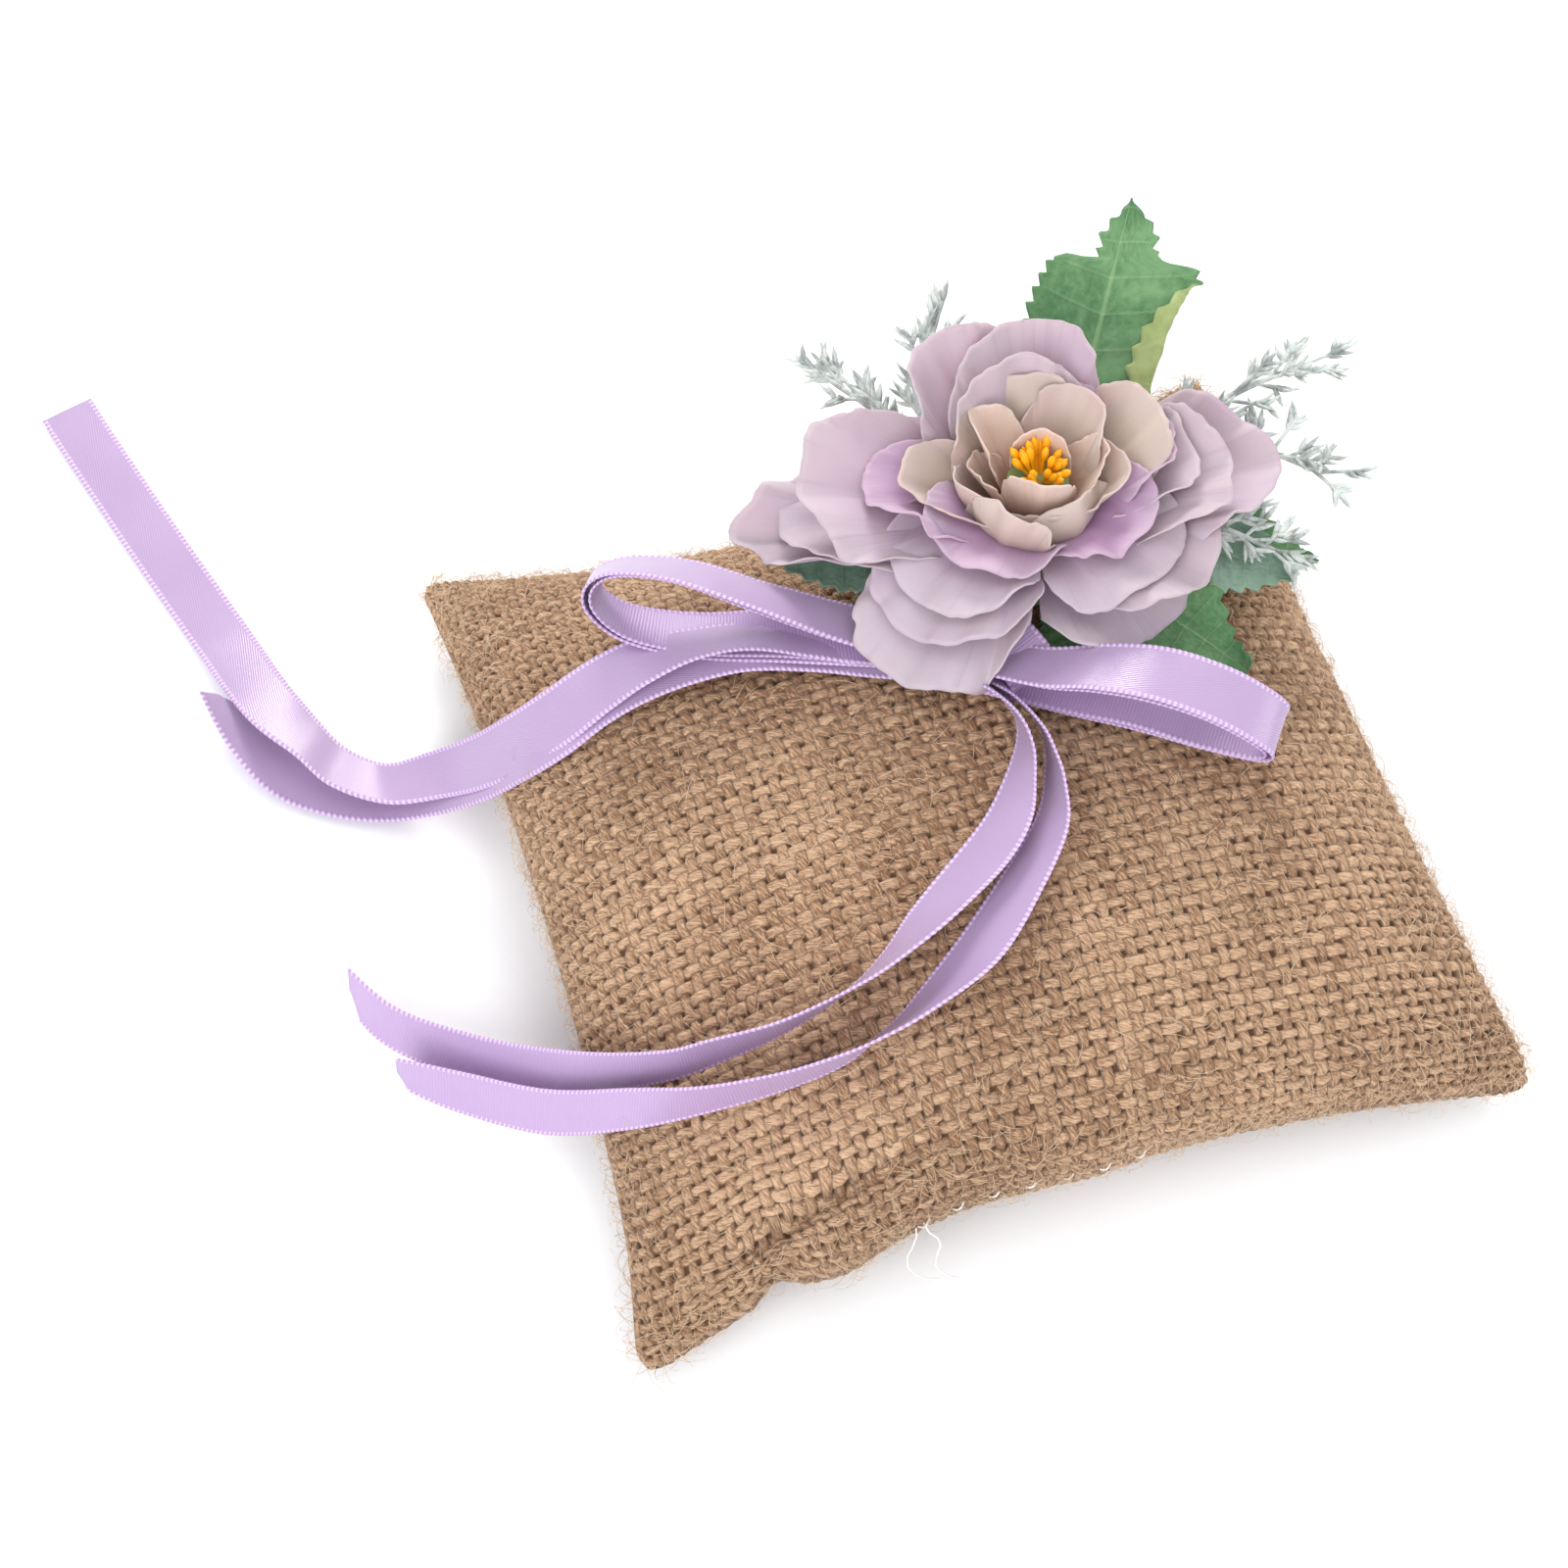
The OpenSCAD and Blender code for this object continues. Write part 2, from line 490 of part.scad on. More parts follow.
cover_top();
cover_bottom();
filling();
seam_thread();
closing_thread();
bow_left_outer();
bow_left_inner();
bow_right_outer();
bow_right_inner();
bow_center_wrap();
tail_left_upper();
tail_left_lower();
tail_front_inner();
tail_front_outer();
glue_pad();
flower_backing();
calyx_peg();
petals_outer_low();
petals_outer_middle();
petals_outer_high();
petals_inner_low();
petals_inner_high();
petals_cup();
petals_bud();
stamens();
leaf_back();
leaf_right_upper();
leaf_right_lower();
leaf_front_right();
leaf_front();
leaf_left();
twig_left_back();
twig_left_front();
twig_right_back();
twig_right_middle();
twig_right_front();
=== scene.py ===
# %% [markdown]
# # A ring bearer pillow
# A ring bearer pillow is a small cushion that carries the rings at a wedding. This one is
# sewn from two squares of burlap, and a satin ribbon bow and a fabric flower are glued to
# its crown. The lesson builds each piece as a surface worked out with numpy, around the
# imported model, which fixes every size and place.

import bmesh
import bpy
import numpy as np
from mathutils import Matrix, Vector


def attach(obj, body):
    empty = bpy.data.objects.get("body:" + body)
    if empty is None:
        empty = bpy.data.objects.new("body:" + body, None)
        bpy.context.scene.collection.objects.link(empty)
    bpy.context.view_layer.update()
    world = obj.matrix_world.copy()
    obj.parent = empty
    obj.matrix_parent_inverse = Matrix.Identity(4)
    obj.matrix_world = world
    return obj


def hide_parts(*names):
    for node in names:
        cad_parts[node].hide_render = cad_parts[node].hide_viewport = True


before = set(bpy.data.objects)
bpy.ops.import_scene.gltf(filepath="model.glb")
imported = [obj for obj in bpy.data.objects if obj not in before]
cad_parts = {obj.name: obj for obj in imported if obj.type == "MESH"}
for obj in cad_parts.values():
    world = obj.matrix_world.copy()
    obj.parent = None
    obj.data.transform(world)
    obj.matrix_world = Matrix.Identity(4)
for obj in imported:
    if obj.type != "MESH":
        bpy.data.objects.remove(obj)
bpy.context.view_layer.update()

MM = 0.001
scene = bpy.context.scene

# %% [markdown]
# ## Camera and light
# The cushion is seen from the front left and well above, with a long lens. A soft box behind
# the cushion draws the highlights on the satin, a wide one at the left front opens the
# shadows, two weak ones at the right and above even them out, and a pale world fills the
# rest, so the floor stays nearly white.

# %% Camera
TARGET = Vector((-26, 12, 15)) * MM
EYE = Vector((-94.6, -204.25, 434.6)) * MM
LENS = 64.87


def aim(thing, eye, target):
    """Puts a camera or a lamp at eye and turns its -Z axis to the target."""
    thing.location = eye
    thing.rotation_euler = (Vector(target) - Vector(eye)).to_track_quat("-Z", "Y").to_euler()


camera = bpy.data.objects.new("camera", bpy.data.cameras.new("camera"))
scene.collection.objects.link(camera)
camera.data.lens = LENS
camera.data.sensor_width = 36
camera.data.clip_start = 0.01
aim(camera, EYE, TARGET)
scene.camera = camera
scene.view_settings.view_transform = "Standard"
scene.view_settings.look = "None"
print("camera lens", LENS, "mm, distance", round((EYE - TARGET).length, 3), "m")

# %% Lamps and world


def softbox(name, eye, width, power, tint):
    """A square area lamp of that width in metres, aimed at the crown of the cushion."""
    data = bpy.data.lights.new(name, "AREA")
    data.shape = "SQUARE"
    data.size = width
    data.energy = power
    data.color = tint
    lamp = bpy.data.objects.new(name, data)
    scene.collection.objects.link(lamp)
    aim(lamp, eye, (0, 0, 0.03))
    return lamp


softbox("key_light", (0.3, 1.25, 0.75), 0.5, 14.0, (1.0, 0.985, 0.97))
softbox("front_light", (-0.8, -0.8, 0.8), 1.2, 14.0, (0.97, 0.985, 1.0))
softbox("side_light", (1.2, -0.2, 0.45), 0.5, 3.0, (1, 1, 1))
softbox("top_light", (0.1, 0.0, 1.3), 1.0, 4.0, (1, 1, 1))
world = bpy.data.worlds.new("studio")
scene.world = world
world.use_nodes = True
world.node_tree.nodes["Background"].inputs["Color"].default_value = (0.93, 0.95, 1.0, 1)
world.node_tree.nodes["Background"].inputs["Strength"].default_value = 0.75

# %% [markdown]
# ## Tools for meshes
# Every piece is one or more grids of points. A grid's rows run along its first direction and
# its columns along the second, and the outside is where first x second points.

# %% Grids to meshes


def unit(vectors):
    """Vectors scaled to length one along the last axis."""
    return vectors / np.maximum(np.linalg.norm(vectors, axis=-1, keepdims=True), 1e-12)


def quads(rows, cols, wrap=False):
    """The four corners of every cell of a grid; with wrap the last row joins the first."""
    i, j = np.meshgrid(np.arange(rows - 1 + wrap), np.arange(cols - 1), indexing="ij")
    k = (i + 1) % rows
    corners = [i * cols + j, k * cols + j, k * cols + j + 1, i * cols + j + 1]
    return np.stack(corners, -1).reshape(-1, 4)


print("quads of a 3 x 3 grid", len(quads(3, 3)), "and of a closed one", len(quads(3, 3, True)))

# %% A mesh from several grids


class Cutting:
    """Grids of points in millimetres that are joined into one mesh."""

    def __init__(self):
        self.points, self.faces, self.uv, self.finish, self.marks = [], [], [], [], {}
        self.count = 0

    def add(self, grid, uv=None, finish=0, wrap=False, flip=False, **marks):
        """Adds a grid (rows, cols, 3) with its UV grid and one value per point for each mark."""
        rows, cols = grid.shape[:2]
        faces = quads(rows, cols, wrap)
        if flip:
            faces = faces[:, ::-1]
        self.append(grid.reshape(-1, 3), faces, uv, finish, **marks)

    def append(self, points, faces, uv=None, finish=0, **marks):
        """Adds points and the quads between them."""
        size = len(points)
        self.points.append(points)
        self.faces.append(faces + self.count)
        self.uv.append(np.zeros((size, 2)) if uv is None else uv.reshape(-1, 2))
        self.finish.append(np.broadcast_to(finish, len(faces)))
        for name, values in marks.items():
            self.marks.setdefault(name, []).append(
                np.broadcast_to(np.asarray(values, float).ravel(), size))
        self.count += size

    def piece(self, name, *materials, weld=True):
        """The mesh object: points in metres, smooth faces, a UV map and one attribute per mark."""
        faces = np.concatenate(self.faces)
        mesh = bpy.data.meshes.new(name)
        mesh.from_pydata(np.concatenate(self.points) * MM, [], faces)
        layer = mesh.uv_layers.new(name="UVMap")
        layer.data.foreach_set("uv", np.concatenate(self.uv)[faces.ravel()].ravel())
        for mark, values in self.marks.items():
            attribute = mesh.attributes.new(mark, "FLOAT", "POINT")
            attribute.data.foreach_set("value", np.concatenate(values))
        mesh.polygons.foreach_set("material_index", np.concatenate(self.finish).astype(np.int32))
        mesh.polygons.foreach_set("use_smooth", np.ones(len(faces), bool))
        if weld:
            shell = bmesh.new()
            shell.from_mesh(mesh)
            bmesh.ops.remove_doubles(shell, verts=shell.verts, dist=1e-6)
            shell.to_mesh(mesh)
            shell.free()
        mesh.update()
        for material in materials:
            mesh.materials.append(material)
        made = bpy.data.objects.new(name, mesh)
        scene.collection.objects.link(made)
        return made


def settle(piece, slot, *nodes):
    """Fixes a finished piece to the body and hides the CAD nodes it shows; slot is not used."""
    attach(piece, "root")
    if nodes:
        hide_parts(*nodes)
    print(piece.name, len(piece.data.polygons), "faces")
    return piece


# %% Smooth curves through a few values


def spline_weights(where, knots):
    """Matrix that turns values at the whole numbers 0..knots-1 into values at `where`.
    Each row holds the four Catmull-Rom weights of the nearest knots, ends repeated."""
    where = np.asarray(where, float)
    k = np.clip(np.floor(where).astype(int), 0, knots - 2)
    f = where - k
    weights = (-0.5 * f + f**2 - 0.5 * f**3, 1 - 2.5 * f**2 + 1.5 * f**3,
               0.5 * f + 2 * f**2 - 1.5 * f**3, -0.5 * f**2 + 0.5 * f**3)
    matrix = np.zeros((len(where), knots))
    for shift, weight in enumerate(weights):
        np.add.at(matrix, (np.arange(len(where)), np.clip(k + shift - 1, 0, knots - 1)), weight)
    return matrix


def wander(rng, lines, knots, samples):
    """Smooth random curves, one per line: normal values at even knots, joined by splines."""
    return rng.normal(size=(lines, knots)) @ spline_weights(
        np.linspace(0, knots - 1, samples), knots).T


def field(rng, knots, rows, cols):
    """A smooth random surface: a square table of normal values, splined both ways."""
    table = rng.normal(size=(knots, knots))
    return (spline_weights(np.linspace(0, knots - 1, rows), knots) @ table
            @ spline_weights(np.linspace(0, knots - 1, cols), knots).T)


def bump_at(x, middle, width):
    """A soft bump of height one: exp of minus the squared distance over the width."""
    return np.exp(-(((x - middle) / width) ** 2))


print("spline weights half way", spline_weights([1.5], 4)[0])

# %% [markdown]
# ## Tools for materials
# A finish is a Principled shader with a few nodes in front of it. A socket is wrapped in a
# small class whose operators add Math nodes, so a mask reads as the sum that it is.

# %% Shader sums as Python expressions


class Wire:
    """An output socket; + - * / and ** on it each add one Math node."""

    def __init__(self, finish, socket):
        self.finish, self.socket = finish, socket

    def maths(self, operation, *values):
        """A Math node of that operation on the values."""
        return self.finish.node("ShaderNodeMath", {"operation": operation},
                                dict(enumerate(values)))

    def __add__(self, other):
        return self.maths("ADD", self, other)

    def __sub__(self, other):
        return self.maths("SUBTRACT", self, other)

    def __rsub__(self, other):
        return self.maths("SUBTRACT", other, self)

    def __mul__(self, other):
        return self.maths("MULTIPLY", self, other)

    def __truediv__(self, other):
        return self.maths("DIVIDE", self, other)

    def __pow__(self, other):
        return self.maths("POWER", self, other)

    def __abs__(self):
        return self.maths("ABSOLUTE", self)

    __radd__ = __add__
    __rmul__ = __mul__

    def wave(self):
        """The sine of the value in radians."""
        return self.maths("SINE", self)

    def fraction(self):
        """What is left after the whole number below the value is taken off."""
        return self.maths("FRACT", self)

    def clamp(self):
        """The value held between 0 and 1."""
        held = self.maths("ADD", self, 0)
        held.socket.node.use_clamp = True
        return held


# %% One material


class Finish:
    """One material: node() adds a node, and the other methods are the few that recur."""

    def __init__(self, name, roughness, **sockets):
        self.material = bpy.data.materials.new(name)
        self.material.use_nodes = True
        self.tree = self.material.node_tree
        self.shader = self.tree.nodes["Principled BSDF"]
        self.set(Roughness=roughness, **sockets)

    def feed(self, socket, value):
        """Links a wire to a socket, or sets a plain value on it."""
        if isinstance(value, Wire):
            self.tree.links.new(value.socket, socket)
        else:
            socket.default_value = value

    def node(self, kind, settings, sockets, out=0):
        """Adds a node of that type, with its settings first and then its sockets."""
        made = self.tree.nodes.new(kind)
        for key, value in settings.items():
            setattr(made, key, value)
        for key, value in sockets.items():
            self.feed(made.inputs[key], value)
        return Wire(self, made.outputs[out])

    def set(self, **sockets):
        """Feeds sockets of the shader; a _ in a name stands for a space."""
        for socket, value in sockets.items():
            self.feed(self.shader.inputs[socket.replace("_", " ")], value)

    def mark(self, name):
        """A value that the mesh carries at each point."""
        return self.node("ShaderNodeAttribute", {"attribute_name": name}, {}, out="Fac")

    def place(self, scale=(1, 1, 1), turn=0.0):
        """Object coordinates in metres, stretched and turned about Z."""
        spot = self.node("ShaderNodeTexCoord", {}, {}, out="Object")
        return self.node("ShaderNodeMapping", {}, {
            "Vector": spot, "Scale": scale, "Rotation": (0, 0, turn)})

    def cloth(self):
        """The two coordinates of the piece's own UV map, as (wire, wire)."""
        uv = self.node("ShaderNodeTexCoord", {}, {}, out="UV")
        return tuple(self.node("ShaderNodeSeparateXYZ", {}, {0: uv}, out=k) for k in (0, 1))

    def vector(self, x, y, z=0.0):
        """Three values as one vector."""
        return self.node("ShaderNodeCombineXYZ", {}, {0: x, 1: y, 2: z})

    def noise(self, vector, scale, detail=3.0, roughness=0.55):
        """Cloudy noise between 0 and 1 around one half."""
        return self.node("ShaderNodeTexNoise", {}, {
            "Vector": vector, "Scale": scale, "Detail": detail, "Roughness": roughness})

    def step(self, value, low, high):
        """0 below low, 1 above high, and smooth between."""
        return self.node("ShaderNodeMapRange", {"interpolation_type": "SMOOTHSTEP"}, {
            "Value": value, "From Min": low, "From Max": high})

    def mix(self, first, second, share, blend="MIX"):
        """Two colours mixed by a share from 0 to 1."""
        return self.node("ShaderNodeMix", {"data_type": "RGBA", "blend_type": blend}, {
            0: share, 6: first, 7: second}, out=2)

    def emboss(self, height, depth_mm, strength=1.0):
        """A bump of that depth in millimetres on the shader's normal."""
        self.set(Normal=self.node("ShaderNodeBump", {}, {
            "Height": height, "Distance": depth_mm * MM, "Strength": strength}))


def paint(red, green, blue):
    """A colour given as display values from 0 to 255, as linear light with alpha."""
    c = np.array([red, green, blue]) / 255
    linear = np.where(c > 0.04045, ((c + 0.055) / 1.055) ** 2.4, c / 12.92)
    return (*linear.tolist(), 1.0)


print("mid grey as linear light", round(paint(128, 128, 128)[0], 3))

# %% [markdown]
# ## The floor
# A plain pale sheet of studio paper, with only a trace of grain.

# %% Floor
FLOOR_HALF = 3000
floor_paper = Finish("floor_paper", 0.9)
paper_grain = floor_paper.noise(floor_paper.place(), 900.0)
floor_paper.set(Base_Color=floor_paper.mix(
    paint(246, 246, 247), paint(250, 250, 250), paper_grain))
sheet = Cutting()
sheet.add(np.array([[[-1, -1, 0], [-1, 1, 0]], [[1, -1, 0], [1, 1, 0]]], float) * FLOOR_HALF)
floor = sheet.piece("studio_floor", floor_paper.material)
print("floor", 2 * FLOOR_HALF, "mm square")

# %% [markdown]
# ## The cushion's form
# Two squares of burlap are sewn together and stuffed. The stuffing rounds the middle, the
# edges pull in between the corners, and the cloth stands almost upright over the seam. The
# form is a formula of two cushion coordinates from -1 to 1, u across and v to the back.
# The driving sizes repeat the ones of the CAD model.

# %% Cushion sizes, in millimetres
HALF_SIDE = 75.0
CROWN = 44.0
SEAM_CORNER = 7.0
SEAM_MIDDLE = 16.0
SEAM_BACK_DROP = 9.0
PULL_LEFT, PULL_RIGHT, PULL_FRONT, PULL_BACK = 0.05, 0.09, 0.09, 0.18
CROWN_POWER, LEFT_POWER, BACK_POWER = 0.42, 0.55, 0.6
CORNER_ROUND = 6.0
CLOTH_SHARE = 0.93
print("cushion", 2 * HALF_SIDE, "mm square, crown", CROWN, "mm")

# %% Cushion surface


def puff(u, v):
    """How full the cushion is: (1 - u2)^0.42 (1 - v2)^0.42, softer at the left and the back."""
    side_power = np.where(u < 0, LEFT_POWER, CROWN_POWER)
    end_power = np.where(v > 0, BACK_POWER, CROWN_POWER)
    return np.maximum(1 - u**2, 0) ** side_power * np.maximum(1 - v**2, 0) ** end_power


def seam_height(u, v):
    """The seam rises from the corners to the middles, and stays low along the back."""
    corner = (u * v) ** 2
    return (SEAM_MIDDLE + (SEAM_CORNER - SEAM_MIDDLE) * corner
            - SEAM_BACK_DROP * np.maximum(v, 0) ** 4 * (1 - u**2))


def outline(u, v):
    """Plan position: the square pulled in along each side, with rounded corners and the
    small ear that the front left corner makes beyond its crease."""
    pull_u = PULL_LEFT + (PULL_RIGHT - PULL_LEFT) * (u + 1) / 2
    pull_v = PULL_FRONT + (PULL_BACK - PULL_FRONT) * (v + 1) / 2
    x = HALF_SIDE * u * (1 - pull_u * (1 - v**2))
    y = HALF_SIDE * v * (1 - pull_v * (1 - u**2))
    m = np.clip(1 - (HALF_SIDE - np.abs(x)) / CORNER_ROUND, 0, 1)
    n = np.clip(1 - (HALF_SIDE - np.abs(y)) / CORNER_ROUND, 0, 1)
    x = x + np.sign(x) * CORNER_ROUND * m * (np.sqrt(1 - n**2 / 2) - 1)
    y = y + np.sign(y) * CORNER_ROUND * n * (np.sqrt(1 - m**2 / 2) - 1)
    ear = np.exp(-((u + 1) ** 2 + (v + 1) ** 2) / 0.03)
    front = np.maximum(-v, 0) ** 8
    x = x - 2.6 * ear
    y = y - 2.2 * ear + front * (2.4 * bump_at(x, -53, 3.5) - 1.4 * bump_at(x, -42, 6)
                                 + 1.0 * bump_at(x, -22, 9) - 0.8 * bump_at(x, 0, 8))
    return x, y


def along_cloth(p, rise):
    """Cushion coordinate for even steps p along the cloth, over a dome of that rise."""
    fine = np.sin(np.linspace(-1, 1, 2001) * np.pi / 2)
    height = rise * (1 - fine**2) ** CROWN_POWER
    length = np.concatenate([[0], np.cumsum(np.hypot(
        np.diff(fine) * HALF_SIDE * CLOTH_SHARE, np.diff(height)))])
    return np.interp(p, 2 * length / length[-1] - 1, fine)


def cushion_coordinates(p, q, rise):
    """Cloth coordinates to cushion coordinates: even along the dome in the middle of the
    cushion, and even along the flat seam at its edges."""
    dome_p, dome_q = along_cloth(p, rise), along_cloth(q, rise)
    flat_p, flat_q = 1 - (1 - p**2) ** 0.5, 1 - (1 - q**2) ** 0.5
    u = dome_p[:, None] + (p - dome_p)[:, None] * flat_q[None, :]
    v = dome_q[None, :] + (q - dome_q)[None, :] * flat_p[:, None]
    return u, v


print("side middles pulled in to", outline(np.array([-1.0, 1.0]), np.zeros(2))[0])

# %% [markdown]
# ## Folds and creases
# The stuffing pulls a crease along the front edge beside the left corner, with a lip of
# cloth below it. Everywhere else the burlap keeps soft dents, and small puckers where the
# seam gathers it.

# %% Folds in the top panel
CREASE_FROM, CREASE_TO = np.array([-58.0, -66.5]), np.array([-28.0, -61.5])


def crease(x, y):
    """Depth of the front crease: a groove along a short line, with a raised lip in front."""
    along = CREASE_TO - CREASE_FROM
    share = ((x - CREASE_FROM[0]) * along[0] + (y - CREASE_FROM[1]) * along[1]) / (along @ along)
    across = ((y - CREASE_FROM[1]) * along[0] - (x - CREASE_FROM[0]) * along[1]) / np.hypot(*along)
    fade = 1 / (1 + np.exp(-(share + 0.02) / 0.05)) / (1 + np.exp((share - 0.9) / 0.12))
    return fade * (3.4 * bump_at(across, 0, 1.5) - 2.2 * bump_at(across, -3.4, 2.2)
                   - 1.4 * bump_at(across, 4.5, 4))


def dents(u, v, rng):
    """Soft random dents of under a millimetre, and puckers that fade a finger from the seam."""
    rows, cols = u.shape
    broad = field(rng, 7, rows, cols) * 0.55 + field(rng, 15, rows, cols) * 0.22
    edge = np.exp(-(1 - np.maximum(np.abs(u), np.abs(v))) / 0.07)
    return broad * (1 - edge) + field(rng, 34, rows, cols) * 0.5 * edge


print("crease depth", crease(*(CREASE_FROM + CREASE_TO) / 2), "mm")

# %% [markdown]
# ## The weave
# Burlap is a plain weave of thick jute yarns, each over one and under the next. At this
# distance single yarns are seen, so they are shape and not only shading. Each yarn is a
# rounded ridge whose middle line goes up and down with its neighbours, and the cloth's
# height is the highest of the yarns above each point. The yarns wander, swell and thin out,
# as spun jute does, and open small square gaps where the cloth is loose near the corners.

# %% Height of a plain weave
YARNS = 70
YARN_LIFT = 0.34
YARN_ROUND = 0.7
YARN_HALF_WIDTH = 0.41
GAP_FLOOR = -0.7
NO_YARN = -9.0


def one_way(pitch_across, pitch_along, looseness, parity, rng):
    """One set of yarns, which run along the second coordinate: their height over every
    point (very low between them), the distance from the yarn's middle and its tone.
    Height = lift cos(pi (along - 1/2)), alternating, + round sqrt(1 - (distance / half)2)."""
    rows, cols = len(pitch_across), len(pitch_along)
    count, slack = YARNS + 3, YARNS // 2

    def drift(knots, size):
        return wander(rng, count, knots, cols) * size

    shift = drift(slack, 0.075) + drift(slack // 4, 0.05)
    half = YARN_HALF_WIDTH + drift(slack, 0.035) + drift(8, 0.02)
    lift = 1 + drift(slack, 0.2)
    tone = rng.normal(size=(count, 1)) * 0.25 + drift(slack, 0.25)
    base = np.floor(pitch_across).astype(int)
    wave = np.cos(np.pi * (pitch_along - 0.5))
    best = np.full((rows, cols), NO_YARN)
    side, shade = np.zeros((rows, cols)), np.zeros((rows, cols))
    for step in (-1, 0, 1):
        yarn = np.clip(base + step, -1, YARNS) + 1
        sign = np.where((yarn + parity) % 2 == 0, 1.0, -1.0)
        middle = (yarn - 0.5)[:, None] + shift[yarn]
        wide = half[yarn] * (1 - 0.15 * looseness)
        off = (pitch_across[:, None] - middle) / wide
        dome = np.sqrt(np.clip(1 - off**2, 0, 1))
        height = YARN_LIFT * sign[:, None] * wave * lift[yarn] + YARN_ROUND * (dome - 0.75)
        height = np.where(np.abs(off) < 1, height, NO_YARN)
        above = height > best
        best, side = np.where(above, height, best), np.where(above, off, side)
        shade = np.where(above, tone[yarn], shade)
    return best, side, shade


def weave(p, q, looseness, rng):
    """Height of the cloth in millimetres, which yarn is on top (1 for those along q), the
    place across it and its tone."""
    a, b = (p + 1) / 2 * YARNS, (q + 1) / 2 * YARNS
    first = one_way(a, b, looseness, 0, rng)
    second = [grid.T for grid in one_way(b, a, looseness.T, 1, rng)]
    top = first[0] > second[0]
    height = np.maximum(np.maximum(first[0], second[0]), GAP_FLOOR)
    side = np.where(top, first[1], second[1])
    tone = np.where(top, first[2], second[2])
    return height, top.astype(float), side, tone


print(YARNS, "yarns each way, pitch", round(2 * HALF_SIDE / YARNS, 2), "mm")

# %% [markdown]
# ## Burlap, the finish
# Jute is a dry tan fibre with a little lustre. Each yarn gets its own tone, streaks run
# along it at a slight twist, the gaps and the yarns' low sides get a painted shade, and a
# few flecks of bark stay in the yarn.
# The streaks follow the cloth, so they are drawn on the UV map, in millimetres of cloth.

# %% Burlap finish


def burlap_finish():
    """Light = streaks + fibres + the yarn's tone + clouds, as a mix of dark and pale straw;
    the mesh carries which yarn is on top, its height and its tone, and the height lays a
    painted shade on the low parts of the cloth."""
    jute = Finish("jute_burlap", 0.9, Specular_IOR_Level=0.18, Sheen_Weight=0.12)
    across, along = jute.cloth()
    upright, height, tone = jute.mark("upright"), jute.mark("height"), jute.mark("tone")
    flat = 1 - upright
    fast = across * upright + along * flat
    slow = along * upright + across * flat
    streak = jute.noise(jute.vector(fast * 2.6 + slow * 1.2, slow * 0.45, upright * 9.0),
                        1.0, 4.0, 0.8)
    fibre = jute.noise(jute.vector(fast * 6.0 + slow * 2.4, slow * 0.9, upright * 5.0), 1.0, 3.0)
    cloud = jute.noise(jute.place(), 28.0, 3.0)
    fleck = jute.step(jute.noise(jute.vector(across, along), 0.85, 2.0), 0.70, 0.76)
    light = streak * 1.1 + fibre * 0.7 + tone * 0.06 + cloud * 0.35 + flat * 0.06
    straw = jute.mix(paint(128, 90, 62), paint(226, 188, 152), jute.step(light, 0.88, 1.36))
    straw = jute.mix(straw, paint(164, 100, 60), fleck * 0.5)
    # Painted shade: the lower the cloth, the nearer its colour is to dark brown, so the gaps and
    # the yarns' low sides look shaded.
    painted_gap_shade = jute.step(height, -0.75, 0.0)
    jute.set(Base_Color=jute.mix(paint(112, 80, 54), straw, painted_gap_shade))
    jute.emboss(streak + fibre * 0.6, 0.45, 0.9)
    return jute.material


burlap = burlap_finish()
print("finish", burlap.name)

# %% Forms of the two panels
REST_FLOOR = 0.5


def smooth_normals(grid):
    """Unit normals of a grid, as the cross product of its two gradients."""
    return unit(np.cross(np.gradient(grid, axis=0), np.gradient(grid, axis=1)))


def top_form(p, q, inset=0.0):
    """The upper surface without its weave, for cloth coordinates p and q."""
    u, v = cushion_coordinates(p, q, CROWN - SEAM_MIDDLE)
    x, y = outline(u, v)
    shrink = 1 - inset / HALF_SIDE
    full = puff(u, v)
    z = seam_height(u, v) + (CROWN - SEAM_MIDDLE - inset) * full
    inside = np.clip(full / 0.35, 0, 1)
    z = z + dents(u, v, np.random.default_rng(11)) * inside - crease(x, y) * inside
    return np.stack([x * shrink, y * shrink, z], -1), u, v


def bottom_form(p, q, inset=0.0):
    """The lower surface: shallower, and flat where it rests on the table."""
    u, v = cushion_coordinates(p, q, SEAM_MIDDLE)
    x, y = outline(u, v)
    shrink = 1 - inset / HALF_SIDE
    z = seam_height(u, v) - 1.25 * (SEAM_MIDDLE - inset) * puff(u, v)
    return np.stack([x * shrink, y * shrink, np.maximum(z, inset + REST_FLOOR)], -1), u, v


def edge_fade(u, v):
    """0 on the seam and 1 from about two millimetres inside it."""
    return np.clip((1 - np.maximum(np.abs(u), np.abs(v))) / 0.012, 0, 1) ** 0.5


print("crown at", round(float(top_form(np.zeros(1), np.zeros(1))[0][0, 0, 2]), 1), "mm")

# %% Build the panels

def panel(form, samples, seed, upward):
    """A woven panel: the form, pushed out along its normals by the height of the weave."""
    steps = np.linspace(-1, 1, YARNS * samples + 1)
    grid, u, v = form(steps, steps)
    looseness = np.clip(np.hypot(u, v) - 0.75, 0, 0.6) / 0.6
    height, upright, side, tone = weave(steps, steps, looseness, np.random.default_rng(seed))
    fade = edge_fade(u, v)
    normals = smooth_normals(grid) * (1 if upward else -1)
    grid = grid + normals * (height * fade)[..., None]
    grid[..., 2] = np.maximum(grid[..., 2], 0.0)
    cloth = np.stack(np.meshgrid(steps, steps, indexing="ij"), -1) * HALF_SIDE
    # The height mark also gives the burlap finish its painted shade in the low places.
    marks = dict(height=height, upright=upright, tone=tone)
    return grid, cloth, marks, normals


top_grid, top_cloth, top_marks, top_normals = panel(top_form, 8, 3, True)
cover = Cutting()
cover.add(top_grid, top_cloth, **top_marks)
cover_top = settle(cover.piece("burlap_top_panel", burlap, weld=False), "burlap", "cover_top")

